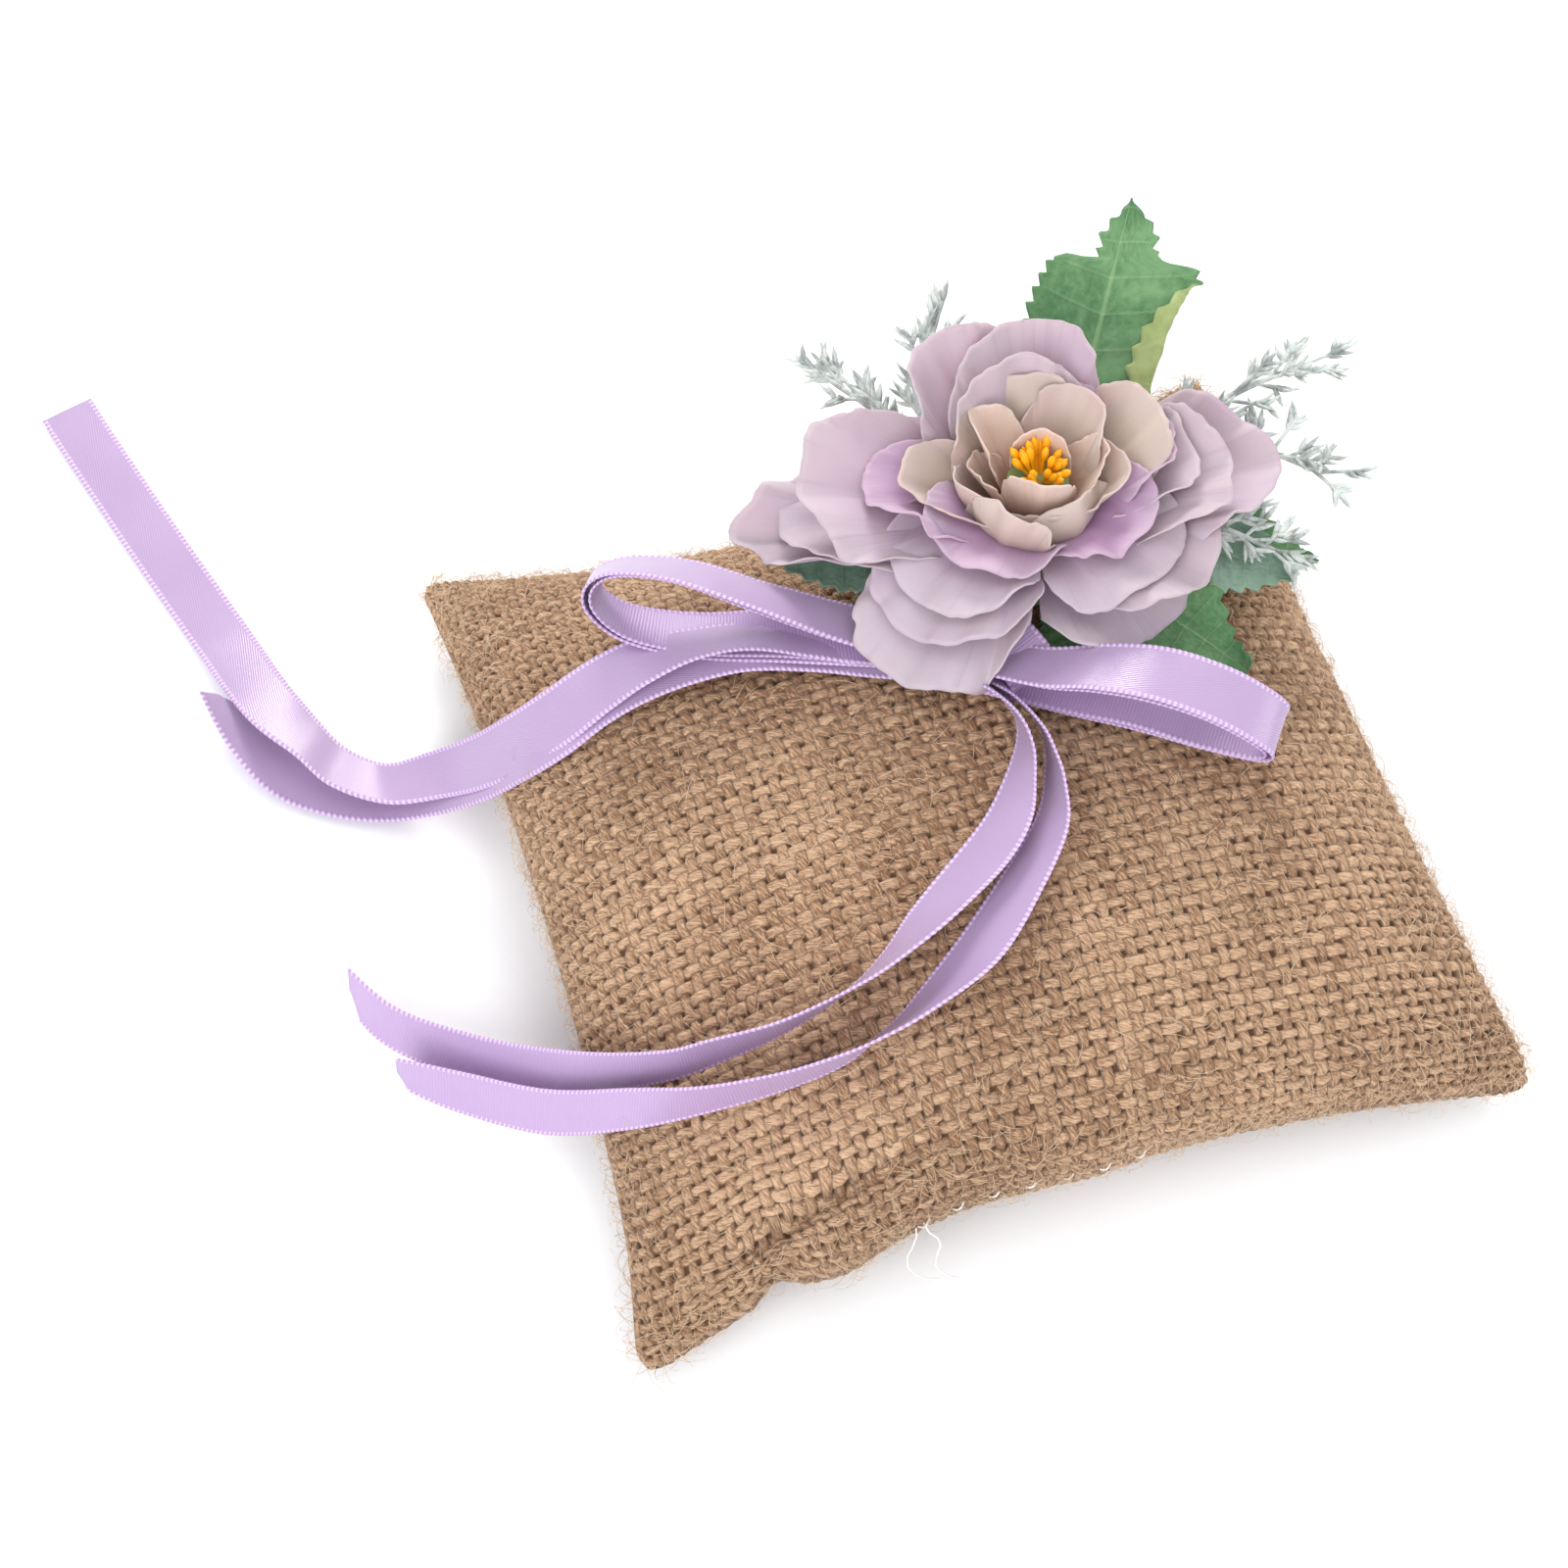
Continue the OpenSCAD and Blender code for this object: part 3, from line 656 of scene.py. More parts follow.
bottom_grid, bottom_cloth, bottom_marks, _ = panel(bottom_form, 4, 5, False)
under = Cutting()
under.add(bottom_grid, bottom_cloth, flip=True, **bottom_marks)
cover_bottom = settle(under.piece("burlap_bottom_panel", burlap, weld=False),
                      "burlap", "cover_bottom")

# %% [markdown]
# ## Loose fibres
# Jute is hairy. Thousands of short fibres lie on the cloth or stand off it, and make the
# soft edge that the cushion has against the background. Each is a thin three-sided tube.

# %% Tubes


def tubes(paths, radii, sides):
    """Points and quads of many tubes at once. paths is (tubes, rings, 3), radii (tubes,
    rings). Each ring lies across its path, turned from one fixed direction per tube."""
    count, rings = paths.shape[:2]
    along = unit(np.gradient(paths, axis=1))
    mean = unit(along.mean(1, keepdims=True))
    helper = np.where(np.abs(mean[..., 2:]) > 0.8, [[[1.0, 0, 0]]], [[[0, 0, 1.0]]])
    side = unit(np.cross(along, np.broadcast_to(helper, along.shape)))
    up = np.cross(side, along)
    angle = np.arange(sides) * 2 * np.pi / sides
    ring = (side[:, :, None] * np.cos(angle)[:, None] + up[:, :, None] * np.sin(angle)[:, None])
    points = paths[:, :, None] + ring * radii[:, :, None, None]
    i, j = np.meshgrid(np.arange(rings - 1), np.arange(sides), indexing="ij")
    k = (j + 1) % sides
    cell = np.stack([i * sides + j, i * sides + k, (i + 1) * sides + k, (i + 1) * sides + j], -1)
    faces = np.arange(count)[:, None, None] * rings * sides + cell.reshape(1, -1, 4)
    return points.reshape(-1, 3), faces.reshape(-1, 4)


# %% Jute fuzz
FIBRES = 6400
RIM_SHARE = 0.45

def fuzz(count, seed):
    """Fibres rooted at random points of the top panel, many of them near its rim:
    root + drift length t + normal rise sin(0.8 pi t) + sideways curl length t^2."""
    rng = np.random.default_rng(seed)
    size = len(top_grid)
    rim = rng.random(count) < RIM_SHARE
    near = 1 - rng.random((2, count)) ** 2.2 * 0.1
    pick = rng.random((2, count))
    edge = rng.integers(0, 4, count)
    a = np.where(rim & (edge == 0), near[0], np.where(rim & (edge == 1), 1 - near[0], pick[0]))
    b = np.where(rim & (edge == 2), near[1], np.where(rim & (edge == 3), 1 - near[1], pick[1]))
    i, j = (a * (size - 1)).astype(int), (b * (size - 1)).astype(int)
    root, normal = top_grid[i, j], top_normals[i, j]
    drift = rng.normal(size=(count, 3))
    drift = unit(drift - normal * (drift * normal).sum(-1, keepdims=True))
    bend = np.cross(normal, drift)
    length = rng.uniform(1.5, 5.5, count)
    rise = rng.uniform(0.3, 1.2, count) + rim * rng.uniform(0, 0.9, count)
    curl = rng.normal(size=count) * 0.35
    t = np.linspace(0, 1, 5)[None, :, None]
    length, rise, curl = (x[:, None, None] for x in (length, rise, curl))
    paths = (root[:, None] + drift[:, None] * length * t
             + normal[:, None] * (rise * np.sin(np.pi * 0.8 * t) * 1.2 - 0.1)
             + bend[:, None] * curl * length * t**2)
    paths[..., 2] = np.maximum(paths[..., 2], 0.1)
    thin = np.linspace(1, 0.5, 5)[None] * rng.uniform(0.04, 0.07, count)[:, None]
    return tubes(paths, thin, 3)


def fibre_finish():
    """Pale straw with soft darker stretches."""
    hair = Finish("jute_fibre", 0.7, Specular_IOR_Level=0.3)
    shade = hair.noise(hair.place(), 160.0, 2.0)
    hair.set(Base_Color=hair.mix(paint(190, 156, 122), paint(236, 214, 184), shade))
    hair.emboss(hair.noise(hair.place(), 900.0), 0.02)
    return hair.material


jute_fibre = fibre_finish()
fluff = Cutting()
fluff.append(*fuzz(FIBRES, 21))
settle(fluff.piece("jute_fuzz", jute_fibre, weld=False), "burlap")

# %% [markdown]
# ## Stuffing and thread
# The cushion is stuffed with polyester fibre, a soft white lump that fills the cover. The
# seam is sewn inside the fold, and the front edge, where the stuffing went in, is closed by
# hand with a white thread whose ends were left loose.

# %% Stuffing


def stuffing_finish():
    """White wool whose lumps are both colour and relief."""
    wool = Finish("polyester_stuffing", 0.95, Sheen_Weight=0.3)
    lumps = wool.noise(wool.place(), 120.0, 5.0, 0.7)
    wool.set(Base_Color=wool.mix(paint(222, 220, 214), paint(248, 247, 243), lumps))
    wool.emboss(lumps, 0.8)
    return wool.material


STUFFING_GAP = 2.6
stuffing_steps = np.linspace(-1, 1, 61)
fill = Cutting()
upper_fill = top_form(stuffing_steps, stuffing_steps, STUFFING_GAP)[0]
lower_fill = bottom_form(stuffing_steps, stuffing_steps, STUFFING_GAP)[0]
upper_fill[..., 2] -= STUFFING_GAP * 0.5
border = np.ones(upper_fill.shape[:2], bool)
border[1:-1, 1:-1] = False
lower_fill[border] = upper_fill[border]
fill.add(upper_fill)
fill.add(np.minimum(lower_fill, upper_fill), flip=True)
stuffing = settle(fill.piece("polyester_stuffing", stuffing_finish()), "filling", "filling")

# %% Seam thread


def thread_finish():
    """Off-white cotton with the fine grain of its ply."""
    cotton = Finish("white_thread", 0.6, Sheen_Weight=0.2)
    ply = cotton.noise(cotton.place((1, 1, 3)), 2500.0, 2.0)
    cotton.set(Base_Color=cotton.mix(paint(226, 222, 212), paint(252, 250, 246), ply))
    cotton.emboss(ply, 0.05)
    return cotton.material


white_thread = thread_finish()
THREAD_RADIUS = 0.16


def seam_line(side, span):
    """Points just inside the seam of one side, from span[0] to span[1] along it."""
    run = np.linspace(*span, 60)
    still = np.full(60, side[0] + side[1], float) * 0.985
    u, v = (still, run) if side[0] else (run, still)
    x, y = outline(u, v)
    return np.stack([x * 0.985, y * 0.985, seam_height(u, v)], -1)


seam_paths = np.stack([seam_line(side, (-0.94, 0.94))
                       for side in ((-1, 0), (1, 0), (0, -1), (0, 1))])
stitches = Cutting()
stitches.append(*tubes(seam_paths, np.full(seam_paths.shape[:2], THREAD_RADIUS), 6))
settle(stitches.piece("seam_stitches", white_thread), "thread", "seam_thread")

# %% Closing stitches


def seam_front(x):
    """The middle of the front edge at that x: the place on it, by the cushion's formula."""
    u = np.asarray(x, float) / HALF_SIDE
    front = np.full_like(u, -1.0)
    return np.stack([*outline(u, front), seam_height(u, front)], -1)


FIRST_STITCH, STITCH_PITCH, STITCHES = -30.0, 6.0, 7
stitch_start = seam_front(FIRST_STITCH + STITCH_PITCH * np.arange(STITCHES))
hump = np.linspace(0, 1, 9)[None, :, None]
stitch_paths = (stitch_start[:, None] + np.array([2.2, 0, 1.6]) * hump
                + np.array([0, -0.9, 0]) * np.sin(np.pi * hump) + np.array([0, 0.4, 0]))
loose_ends = np.array([
    [[0, 0.4, 0], [-0.4, -1.2, -0.6], [-1.2, -2.0, -2.4], [-2.2, -2.6, -4.6],
     [-2.4, -3.6, -6.6], [-1.4, -4.6, -8.2], [-0.2, -5.2, -9.2], [1.0, -5.6, -9.8],
     [2.2, -5.8, -10.2]],
    [[1.2, 0.4, 0.6], [1.6, -1.4, 0.2], [2.8, -2.2, -1.4], [3.2, -2.8, -3.4],
     [2.4, -3.6, -5.2], [1.8, -4.6, -6.8], [2.6, -5.6, -8.0], [3.8, -6.4, -8.8],
     [5.0, -7.0, -9.2]]]) + stitch_start[0]
closing = Cutting()
closing.append(*tubes(np.concatenate([stitch_paths, loose_ends]),
                      np.full((STITCHES + 2, 9), THREAD_RADIUS), 6))
settle(closing.piece("closing_stitches", white_thread), "thread", "closing_thread")

# %% [markdown]
# ## Satin ribbon
# The bow and its tails are 10 mm satin ribbon: a smooth face, a ribbed back, and on both
# edges a row of tiny woven loops. A ribbon is a flat section carried along a route of
# given points, each with the direction across the ribbon, so it can stand on edge,
# twist and curl. The loops on the edge are a row of beads in the section's thickness.

# %% Routes, in millimetres: x, y, z of the middle, then the direction across
LEFT_LOOP = [
    [2, 13, 46.2, -0.5, -0.75, 0.2], [-10, 18.5, 47.2, -0.5, -0.75, 0.3],
    [-25, 26.5, 52, -0.55, -0.6, 0.5], [-36, 34, 53.5, -0.6, -0.55, 0.55],
    [-45, 38.5, 52.5, -0.5, -0.6, 0.6], [-50, 39.5, 49.5, -0.35, -0.7, 0.62],
    [-50.5, 37.5, 46, -0.35, -0.75, 0.55], [-46, 33.5, 43, -0.35, -0.85, 0.4],
    [-36, 28, 42.5, -0.3, -0.9, 0.25], [-22, 22, 44.5, -0.2, -0.95, 0.1],
    [-6, 15.5, 45.5, -0.1, -1, 0]]
RIGHT_LOOP = [
    [4, 9, 47.5, -0.4, -0.7, 0.4], [13.5, 1.5, 50.5, -0.5, -0.75, 0.3],
    [21, -3, 54, -0.6, -0.75, 0.15], [29, -8, 55.8, -0.6, -0.78, 0],
    [37, -13.5, 54.5, -0.6, -0.78, -0.05], [43, -18, 51.5, -0.6, -0.78, -0.05],
    [45.8, -19.8, 48, -0.6, -0.78, 0], [44, -18.3, 44.8, -0.6, -0.78, 0.1],
    [37, -13, 43.6, -0.6, -0.78, 0.1], [28, -7, 44.6, -0.6, -0.78, 0.05],
    [18, -1, 45.4, -0.6, -0.78, 0], [6, 7, 45.6, -0.6, -0.78, 0]]
TAIL_LEFT_UPPER = [
    [-2, 14, 46, 0, -1, 0], [-10, 17, 45.2, 0, -1, 0], [-19, 21, 45, -0.05, -0.97, 0.25],
    [-29, 24, 45.5, 0, -0.85, 0.5], [-38, 25.5, 45, 0.1, -0.88, 0.45],
    [-46, 26, 43, 0.1, -0.97, 0.2], [-53, 26, 39, 0.15, -0.99, 0],
    [-60.2, 25.6, 33.8, 0.18, -0.93, -0.15], [-67.2, 27.1, 26.4, 0.15, -0.95, -0.15],
    [-74.1, 30.2, 17.6, 0.05, -0.98, -0.1], [-82, 34.5, 9.5, 0.05, -0.98, 0.1],
    [-90, 37.5, 6, -0.2, -0.93, 0.3], [-97, 43, 6.2, -0.45, -0.8, 0.35],
    [-101, 50, 6.8, -0.55, -0.7, 0.35], [-106, 60, 6, -0.85, -0.37, 0.15],
    [-111, 78, 1.6, -0.96, -0.28, 0], [-118, 101, 1.0, -0.97, -0.25, 0],
    [-125, 125, 1, -0.97, -0.25, 0], [-128, 136, 1, -0.97, -0.25, 0]]
TAIL_LEFT_LOWER = [
    [0, 11, 45.4, 0, -1, 0], [-10, 15.5, 44.2, 0, -1, 0], [-20, 20, 43.6, 0, -0.98, 0.1],
    [-30, 23, 43.4, 0, -0.97, 0.2], [-39, 24.5, 42.2, 0, -0.98, 0.1],
    [-47, 25, 39.8, 0, -1, 0.05], [-54.1, 24.8, 36.4, 0.1, -0.99, 0.05],
    [-61.2, 24.3, 31.4, 0.12, -0.98, 0], [-68.3, 25.7, 24.3, 0.1, -0.98, 0],
    [-75.1, 29.1, 15, 0, -0.99, 0], [-83, 33, 7, 0, -0.98, 0.1],
    [-91, 36.5, 2.6, -0.1, -0.98, 0.15], [-99, 41, 1.6, -0.35, -0.92, 0.1],
    [-106, 47, 1.8, -0.6, -0.75, 0.15], [-110.5, 55, 3.2, -0.7, -0.45, 0.45],
    [-114, 64, 5.4, -0.5, -0.2, 0.8]]
TAIL_FRONT_INNER = [
    [2, 9, 46.2, -0.2, -0.85, 0.45], [5, 3, 47.4, -0.1, -0.72, 0.68],
    [7, -4, 48.9, -0.1, -0.6, 0.8], [7, -9, 49.5, -0.05, -0.75, 0.65],
    [5, -14, 49, 0.05, -0.8, 0.6], [1, -20, 48, 0.35, -0.73, 0.6],
    [-4, -24.5, 47, 0.45, -0.7, 0.52], [-13, -30, 45.2, 0.7, -0.45, 0.5],
    [-24, -36.5, 45, 0.05, -0.56, 0.83], [-32, -39.5, 43.5, -0.1, -0.38, 0.92],
    [-43, -41.2, 41, -0.18, -0.2, 0.96], [-53.1, -40.4, 37.4, -0.2, 0, 0.98],
    [-61.2, -38.5, 32.6, 0, 0.1, 0.99], [-72.1, -31.8, 22.8, 0.1, 0.27, 0.96],
    [-84, -22, 12, 0.3, 0.33, 0.88], [-95, -12, 6.5, 0.35, 0.25, 0.9],
    [-101, -5.5, 5.2, 0.3, 0.2, 0.92], [-105, 2, 5.2, 0.15, 0.3, 0.92]]
TAIL_FRONT_OUTER = [
    [6, 7, 46, -0.2, -0.85, 0.45], [8, 1, 47.2, -0.1, -0.7, 0.7],
    [10, -7, 48.8, -0.15, -0.56, 0.82], [10, -12, 49.4, -0.1, -0.58, 0.81],
    [9, -17, 49.2, 0.04, -0.63, 0.77], [6, -24, 48.4, 0.21, -0.68, 0.7],
    [-2, -32, 46.8, 0.4, -0.68, 0.62], [-12, -40, 44.6, 0.55, -0.62, 0.56],
    [-23, -45.5, 42.6, 0.3, -0.45, 0.84], [-30, -47.5, 41.4, -0.1, -0.4, 0.9],
    [-36.1, -48.7, 40.2, -0.22, -0.22, 0.95], [-45.1, -48.3, 37.6, -0.2, -0.1, 0.97],
    [-57.2, -46, 33.6, -0.07, 0.05, 1], [-68.1, -40.9, 25.9, 0.19, 0.28, 0.94],
    [-80, -33, 15, 0.18, 0.37, 0.91], [-92, -22.5, 7.5, 0.18, 0.3, 0.94],
    [-101, -15, 5.4, 0.08, 0.05, 1]]
CENTER_WRAP = [
    [6, 20, 46.2, -0.9, -0.4, 0], [8, 15, 48.2, -0.9, -0.4, 0], [10, 10, 48.8, -0.9, -0.4, 0],
    [12, 5, 48, -0.9, -0.4, 0], [13, 2.5, 46, -0.9, -0.4, 0], [11.6, 5, 44.6, -0.9, -0.4, 0],
    [9.4, 10, 44.2, -0.9, -0.4, 0], [7.4, 15, 44.4, -0.9, -0.4, 0]]
print("points on the loops", len(LEFT_LOOP), len(RIGHT_LOOP), "and the upper tail",
      len(TAIL_LEFT_UPPER))

# %% Satin finishes
RIBBON_HALF = 5.0
PICOT_PITCH = 0.95
RIB_PITCH = 0.55


def satin_finish(name, ribbed):
    """The face has fine slanting threads and a soft gloss; the back has ribs across it. The
    edge loops get a painted highlight on each crest and painted shade between them.
    """
    satin = Finish(name, 0.4 if ribbed else 0.3, Specular_IOR_Level=0.5,
                   Sheen_Weight=0.06, Sheen_Roughness=0.4)
    across, along = satin.cloth()
    edge = satin.step(abs(across), 4.1, 4.3)
    threads = (along * 0.35 + across) * 14.0
    ribs = along * (2 * np.pi / RIB_PITCH)
    grain = (ribs if ribbed else threads).wave() * 0.5 + 0.5
    loops = (along * (2 * np.pi / PICOT_PITCH)).wave() * 0.5 + 0.5
    cloud = satin.noise(satin.place(), 60.0, 2.0)
    tint = satin.mix(paint(168, 143, 178), paint(186, 162, 195), cloud * 0.6 + grain * 0.3)
    if ribbed:
        tint = satin.mix(paint(172, 142, 186), paint(189, 163, 200), cloud * 0.5 + grain * 0.5)
    # Painted highlight and shade: each edge loop is pale at its crest and darker between loops.
    bead = satin.mix(paint(176, 142, 188), paint(222, 200, 230), loops)
    satin.set(Base_Color=satin.mix(tint, bead, edge * 0.85))
    satin.set(Roughness=edge * 0.3 + grain * 0.05 + (0.36 if ribbed else 0.23))
    satin.emboss(grain * (1 - edge) + loops * edge * 1.4, 0.05 if ribbed else 0.025, 0.8)
    return satin.material


satin_face = satin_finish("satin_face", False)
satin_back = satin_finish("satin_back", True)
print("finishes", satin_face.name, satin_back.name)

# %% Ribbons
SECTION = np.array([-1, -0.975, -0.94, -0.9, -0.86, -0.8, -0.5, 0,
                    0.5, 0.8, 0.86, 0.9, 0.94, 0.975, 1])


def dense_route(route):
    """The spline through a route at 40 steps a point, with the distance along it."""
    route = np.array(route, float)
    fine = spline_weights(np.linspace(0, len(route) - 1, 40 * len(route)), len(route)) @ route
    middle, across = fine[:, :3], unit(fine[:, 3:])
    run = np.concatenate([[0], np.cumsum(np.linalg.norm(np.diff(middle, axis=0), axis=1))])
    normal = unit(np.cross(np.gradient(middle, axis=0), across))
    return middle, across, normal, run


def pick(values, run, where):
    """Each column of values looked up at any distances along the route."""
    return np.stack([np.interp(where, run, values[:, k]) for k in range(values.shape[1])], -1)


def ribbon(name, route, node, face_up=True, slant=(0.0, 0.0), step=0.24):
    """A ribbon along a route. The section is a thin lens with beads at both edges: half
    thickness = 0.12 mm + 0.17 |cos(pi run / pitch)| in the outer 0.7 mm, rounded off at the
    very edge. slant moves the two ends' cuts forward at one edge and back at the other."""
    middle, across, normal, run = dense_route(route)
    length = run[-1]
    rows = int(length / step)
    start = np.exp(-np.linspace(0, length, rows) / 4) * slant[0]
    finish = np.exp(-(length - np.linspace(0, length, rows)) / 4) * slant[1]
    where = np.linspace(0, length, rows)[None] + SECTION[:, None] * (start + finish)[None]
    where = np.clip(where, 0, length)
    bead = np.abs(np.cos(np.pi * where / PICOT_PITCH))
    edge = np.clip((np.abs(SECTION) - 0.86) / 0.04, 0, 1)[:, None]
    round_off = np.sqrt(np.clip(1.002 - (np.clip(np.abs(SECTION) - 0.9, 0, 0.1) / 0.1) ** 2, 0, 1))
    thick = (0.12 + 0.17 * edge * bead) * round_off[:, None] + 0.02
    out = SECTION[:, None] * RIBBON_HALF + np.sign(SECTION)[:, None] * 0.14 * edge * (bead - 0.6)
    sag = 0.12 * (1 - SECTION**2)[:, None]
    m = pick(middle, run, where)
    a, n = unit(pick(across, run, where)), unit(pick(normal, run, where))
    sign = 1 if face_up else -1
    faces = [m + a * out[..., None] + n * (sag + side * thick)[..., None] for side in (sign, -sign)]
    shell = np.concatenate([faces[0], faces[1][::-1]])
    cloth = np.stack([np.broadcast_to(SECTION[:, None] * RIBBON_HALF, where.shape), where], -1)
    cut = Cutting()
    cols = shell.shape[1]
    width = len(SECTION)
    side_of = np.repeat(np.r_[np.zeros(width), np.ones(width)], cols - 1)
    cut.add(shell, np.concatenate([cloth, cloth[::-1]]), side_of, wrap=True, flip=face_up)
    piece = cap_ends(cut, width, cols, face_up).piece(name, satin_face, satin_back)
    settle(piece, "satin", node)
    length * MM
    print(name, "length", round(length, 1), "mm")
    return piece


def cap_ends(cut, width, cols, face_up):
    """Closes both ends of a ribbon with quads between its face and its back."""
    j = np.arange(width - 1)
    for column, turned in ((0, face_up), (cols - 1, not face_up)):
        cap = np.stack([j, j + 1, 2 * width - 2 - j, 2 * width - 1 - j], -1) * cols + column
        cut.faces.append(cap if turned else cap[:, ::-1])
        cut.finish.append(np.zeros(len(cap)))
    return cut


def towards(route, middle, gap):
    """The same route, moved by the gap towards the middle of a loop."""
    route = np.array(route, float)
    route[:, :3] += unit(np.array(middle) - route[:, :3]) * gap
    return route


print("ribbon", 2 * RIBBON_HALF, "mm wide, a bead every", PICOT_PITCH, "mm")

# %% Build the ribbons
LAYER_GAP = 1.2
ribbon("bow_loop_left_outer", LEFT_LOOP, "bow_left_outer")
ribbon("bow_loop_left_inner", towards(LEFT_LOOP, [-26, 28, 48], LAYER_GAP), "bow_left_inner")
ribbon("bow_loop_right_outer", RIGHT_LOOP, "bow_right_outer", face_up=False)
ribbon("bow_loop_right_inner", towards(RIGHT_LOOP, [26, -6, 49.5], LAYER_GAP),
       "bow_right_inner", face_up=False)
ribbon("bow_knot_wrap", CENTER_WRAP, "bow_center_wrap")
ribbon("ribbon_tail_left_upper", TAIL_LEFT_UPPER, "tail_left_upper")
ribbon("ribbon_tail_left_lower", TAIL_LEFT_LOWER, "tail_left_lower", slant=(0, 3))
ribbon("ribbon_tail_front_inner", TAIL_FRONT_INNER, "tail_front_inner", slant=(0, 3))
ribbon("ribbon_tail_front_outer", TAIL_FRONT_OUTER, "tail_front_outer", slant=(0, 2))

# %% [markdown]
# ## The flower
# A silk flower is cut from stiffened cloth: each layer is a star of petals, heat-pressed to
# a cup and threaded on a short peg. A petal here is a fan of lines from its root to a
# rounded rim. It is bent along its middle from the slope at the root to the slope at the
# tip, cupped across, and ruffled near the rim, where the cutter leaves it slightly ragged.

# %% Petal shape
FLOWER_AXIS = np.array([22.0, 29.0])
HUB_RADIUS = 4.0
BACKING_TOP = 46.6
FIRST_LAYER = 0.35
LAYER_PITCH = 1.0
PETAL_THICKNESS = 0.26
RIM_CENTRE, RIM_ANGLE, RIM_POWER = 0.6, 106, 0.8
ROOT_HALF = 2.0
ROOT_INSET = 1.5


def bend(root, tip, share):
    """Distance out and up after a share of a unit length whose slope turns evenly from
    root to tip, in degrees: the integrals of cos and sin of the slope."""
    a, b = np.radians(root), np.radians(tip + 0.01)
    slope = a + (b - a) * share
    return (np.sin(slope) - np.sin(a)) / (b - a), (np.cos(a) - np.cos(slope)) / (b - a), slope


def petal(azimuth, length, root, tip, half, height, rng, cup=0.4, ruffle=1.0, point=0.0,
          curl=0.0, rows=34, cols=72):
    """One petal as a grid: rows from root to rim, columns across. The rim is a squarish arc
    (cos and sin to the power 0.8) of half width `half` around a centre at 0.6 of the length,
    with a point, scallops and raggedness; a line from the narrow root goes to each of its
    points. Across the petal the cloth is bent to a circle (cup), and its rim waves (ruffle)
    and rolls back (curl)."""
    share = np.linspace(0, 1, rows)[:, None]
    t = np.linspace(-1, 1, cols)[None, :]
    angle = np.radians(RIM_ANGLE) * t
    ragged = (wander(rng, 1, 7, cols) * 0.035 + wander(rng, 1, 14, cols) * 0.02
              + wander(rng, 1, 44, cols) * 0.009)
    radius = 1 + ragged + point * np.exp(-((t / 0.14) ** 2))
    forward = np.sign(np.cos(angle)) * np.abs(np.cos(angle)) ** RIM_POWER
    sideways = np.sign(np.sin(angle)) * np.abs(np.sin(angle)) ** RIM_POWER
    rim_along = length * (RIM_CENTRE + (1 - RIM_CENTRE) * radius * forward)
    rim_aside = half * radius * sideways
    s = share * rim_along / length
    aside = ROOT_HALF * t * (1 - share) + rim_aside * share
    out, up, slope = bend(root, tip, s)
    out, up = out * length, up * length
    radius_across = half / max(abs(cup), 0.05) * np.sign(cup)
    lean = aside / radius_across
    lateral, lift = radius_across * np.sin(lean), radius_across * (1 - np.cos(lean))
    waves = (wander(rng, 1, 6, cols) * 1.3 * share**3 + wander(rng, 1, 12, cols) * 0.75 * share**5
             + wander(rng, 1, 26, cols) * 0.25 * share**10)
    furrow = wander(rng, 1, 5, cols) * 0.8 * share**1.5 - 1.1 * np.exp(-((t / 0.08) ** 2)) * share
    lift = lift + ruffle * (waves + furrow) - curl * share**5 * length * 0.25
    r = HUB_RADIUS - ROOT_INSET + out - np.sin(slope) * lift
    z = height + up + np.cos(slope) * lift
    turn = np.radians(azimuth)
    x = FLOWER_AXIS[0] + r * np.cos(turn) - lateral * np.sin(turn)
    y = FLOWER_AXIS[1] + r * np.sin(turn) + lateral * np.cos(turn)
    grid = np.stack([x, y, z], -1)
    uv = np.stack(np.broadcast_arrays(t, share), -1)
    return grid, uv


print("a petal bent from 0 to 90 degrees reaches out", round(float(bend(0, 90, 1)[0]), 3))

# %% [markdown]
# ## Petal finishes
# The cloth is dyed lilac outside and darkens to violet towards the roots, partly the dye
# and partly painted shade in the depths of the flower, and the inner petals go from mauve
# to straw. Fine pressed veins fan out from the root, and the cut rim is paler.

# %% Petal finish


def petal_finish(name, rim_tint, body_tint, root_dye_and_shade, blush):
    """Root, body and rim colours along the petal, moved about by clouds and by the petal's
    own tone, then patches of blush, then veins that keep the root's colour. The darker roots
    of the lilac and violet finishes are partly painted shade."""
    silk = Finish(name, 0.72, Specular_IOR_Level=0.25, Sheen_Weight=0.2,
                  Subsurface_Weight=0.12, Subsurface_Scale=0.002)
    across, share = silk.cloth()
    tone = silk.mark("tone")
    cloud = silk.noise(silk.place(), 55.0, 3.0)
    fine = silk.noise(silk.place(), 700.0, 3.0)
    vein = silk.noise(silk.vector(across * 26.0, share * 1.6, tone * 7.0), 1.0, 3.0, 0.6)
    spread = share + (cloud - 0.5) * 0.35 + (tone - 0.5) * 0.2
    body = silk.mix(root_dye_and_shade, body_tint, silk.step(spread, 0.12, 0.55))
    body = silk.mix(body, rim_tint, silk.step(spread, 0.6, 1.0))
    body = silk.mix(body, blush, silk.step(cloud + (tone - 0.5) * 0.3, 0.52, 0.75) * 0.5)
    body = silk.mix(body, root_dye_and_shade, silk.step(vein, 0.52, 0.8) * 0.25)
    silk.set(Base_Color=body)
    silk.emboss(vein * 0.8 + fine * 0.25, 0.18, 0.6)
    return silk.material
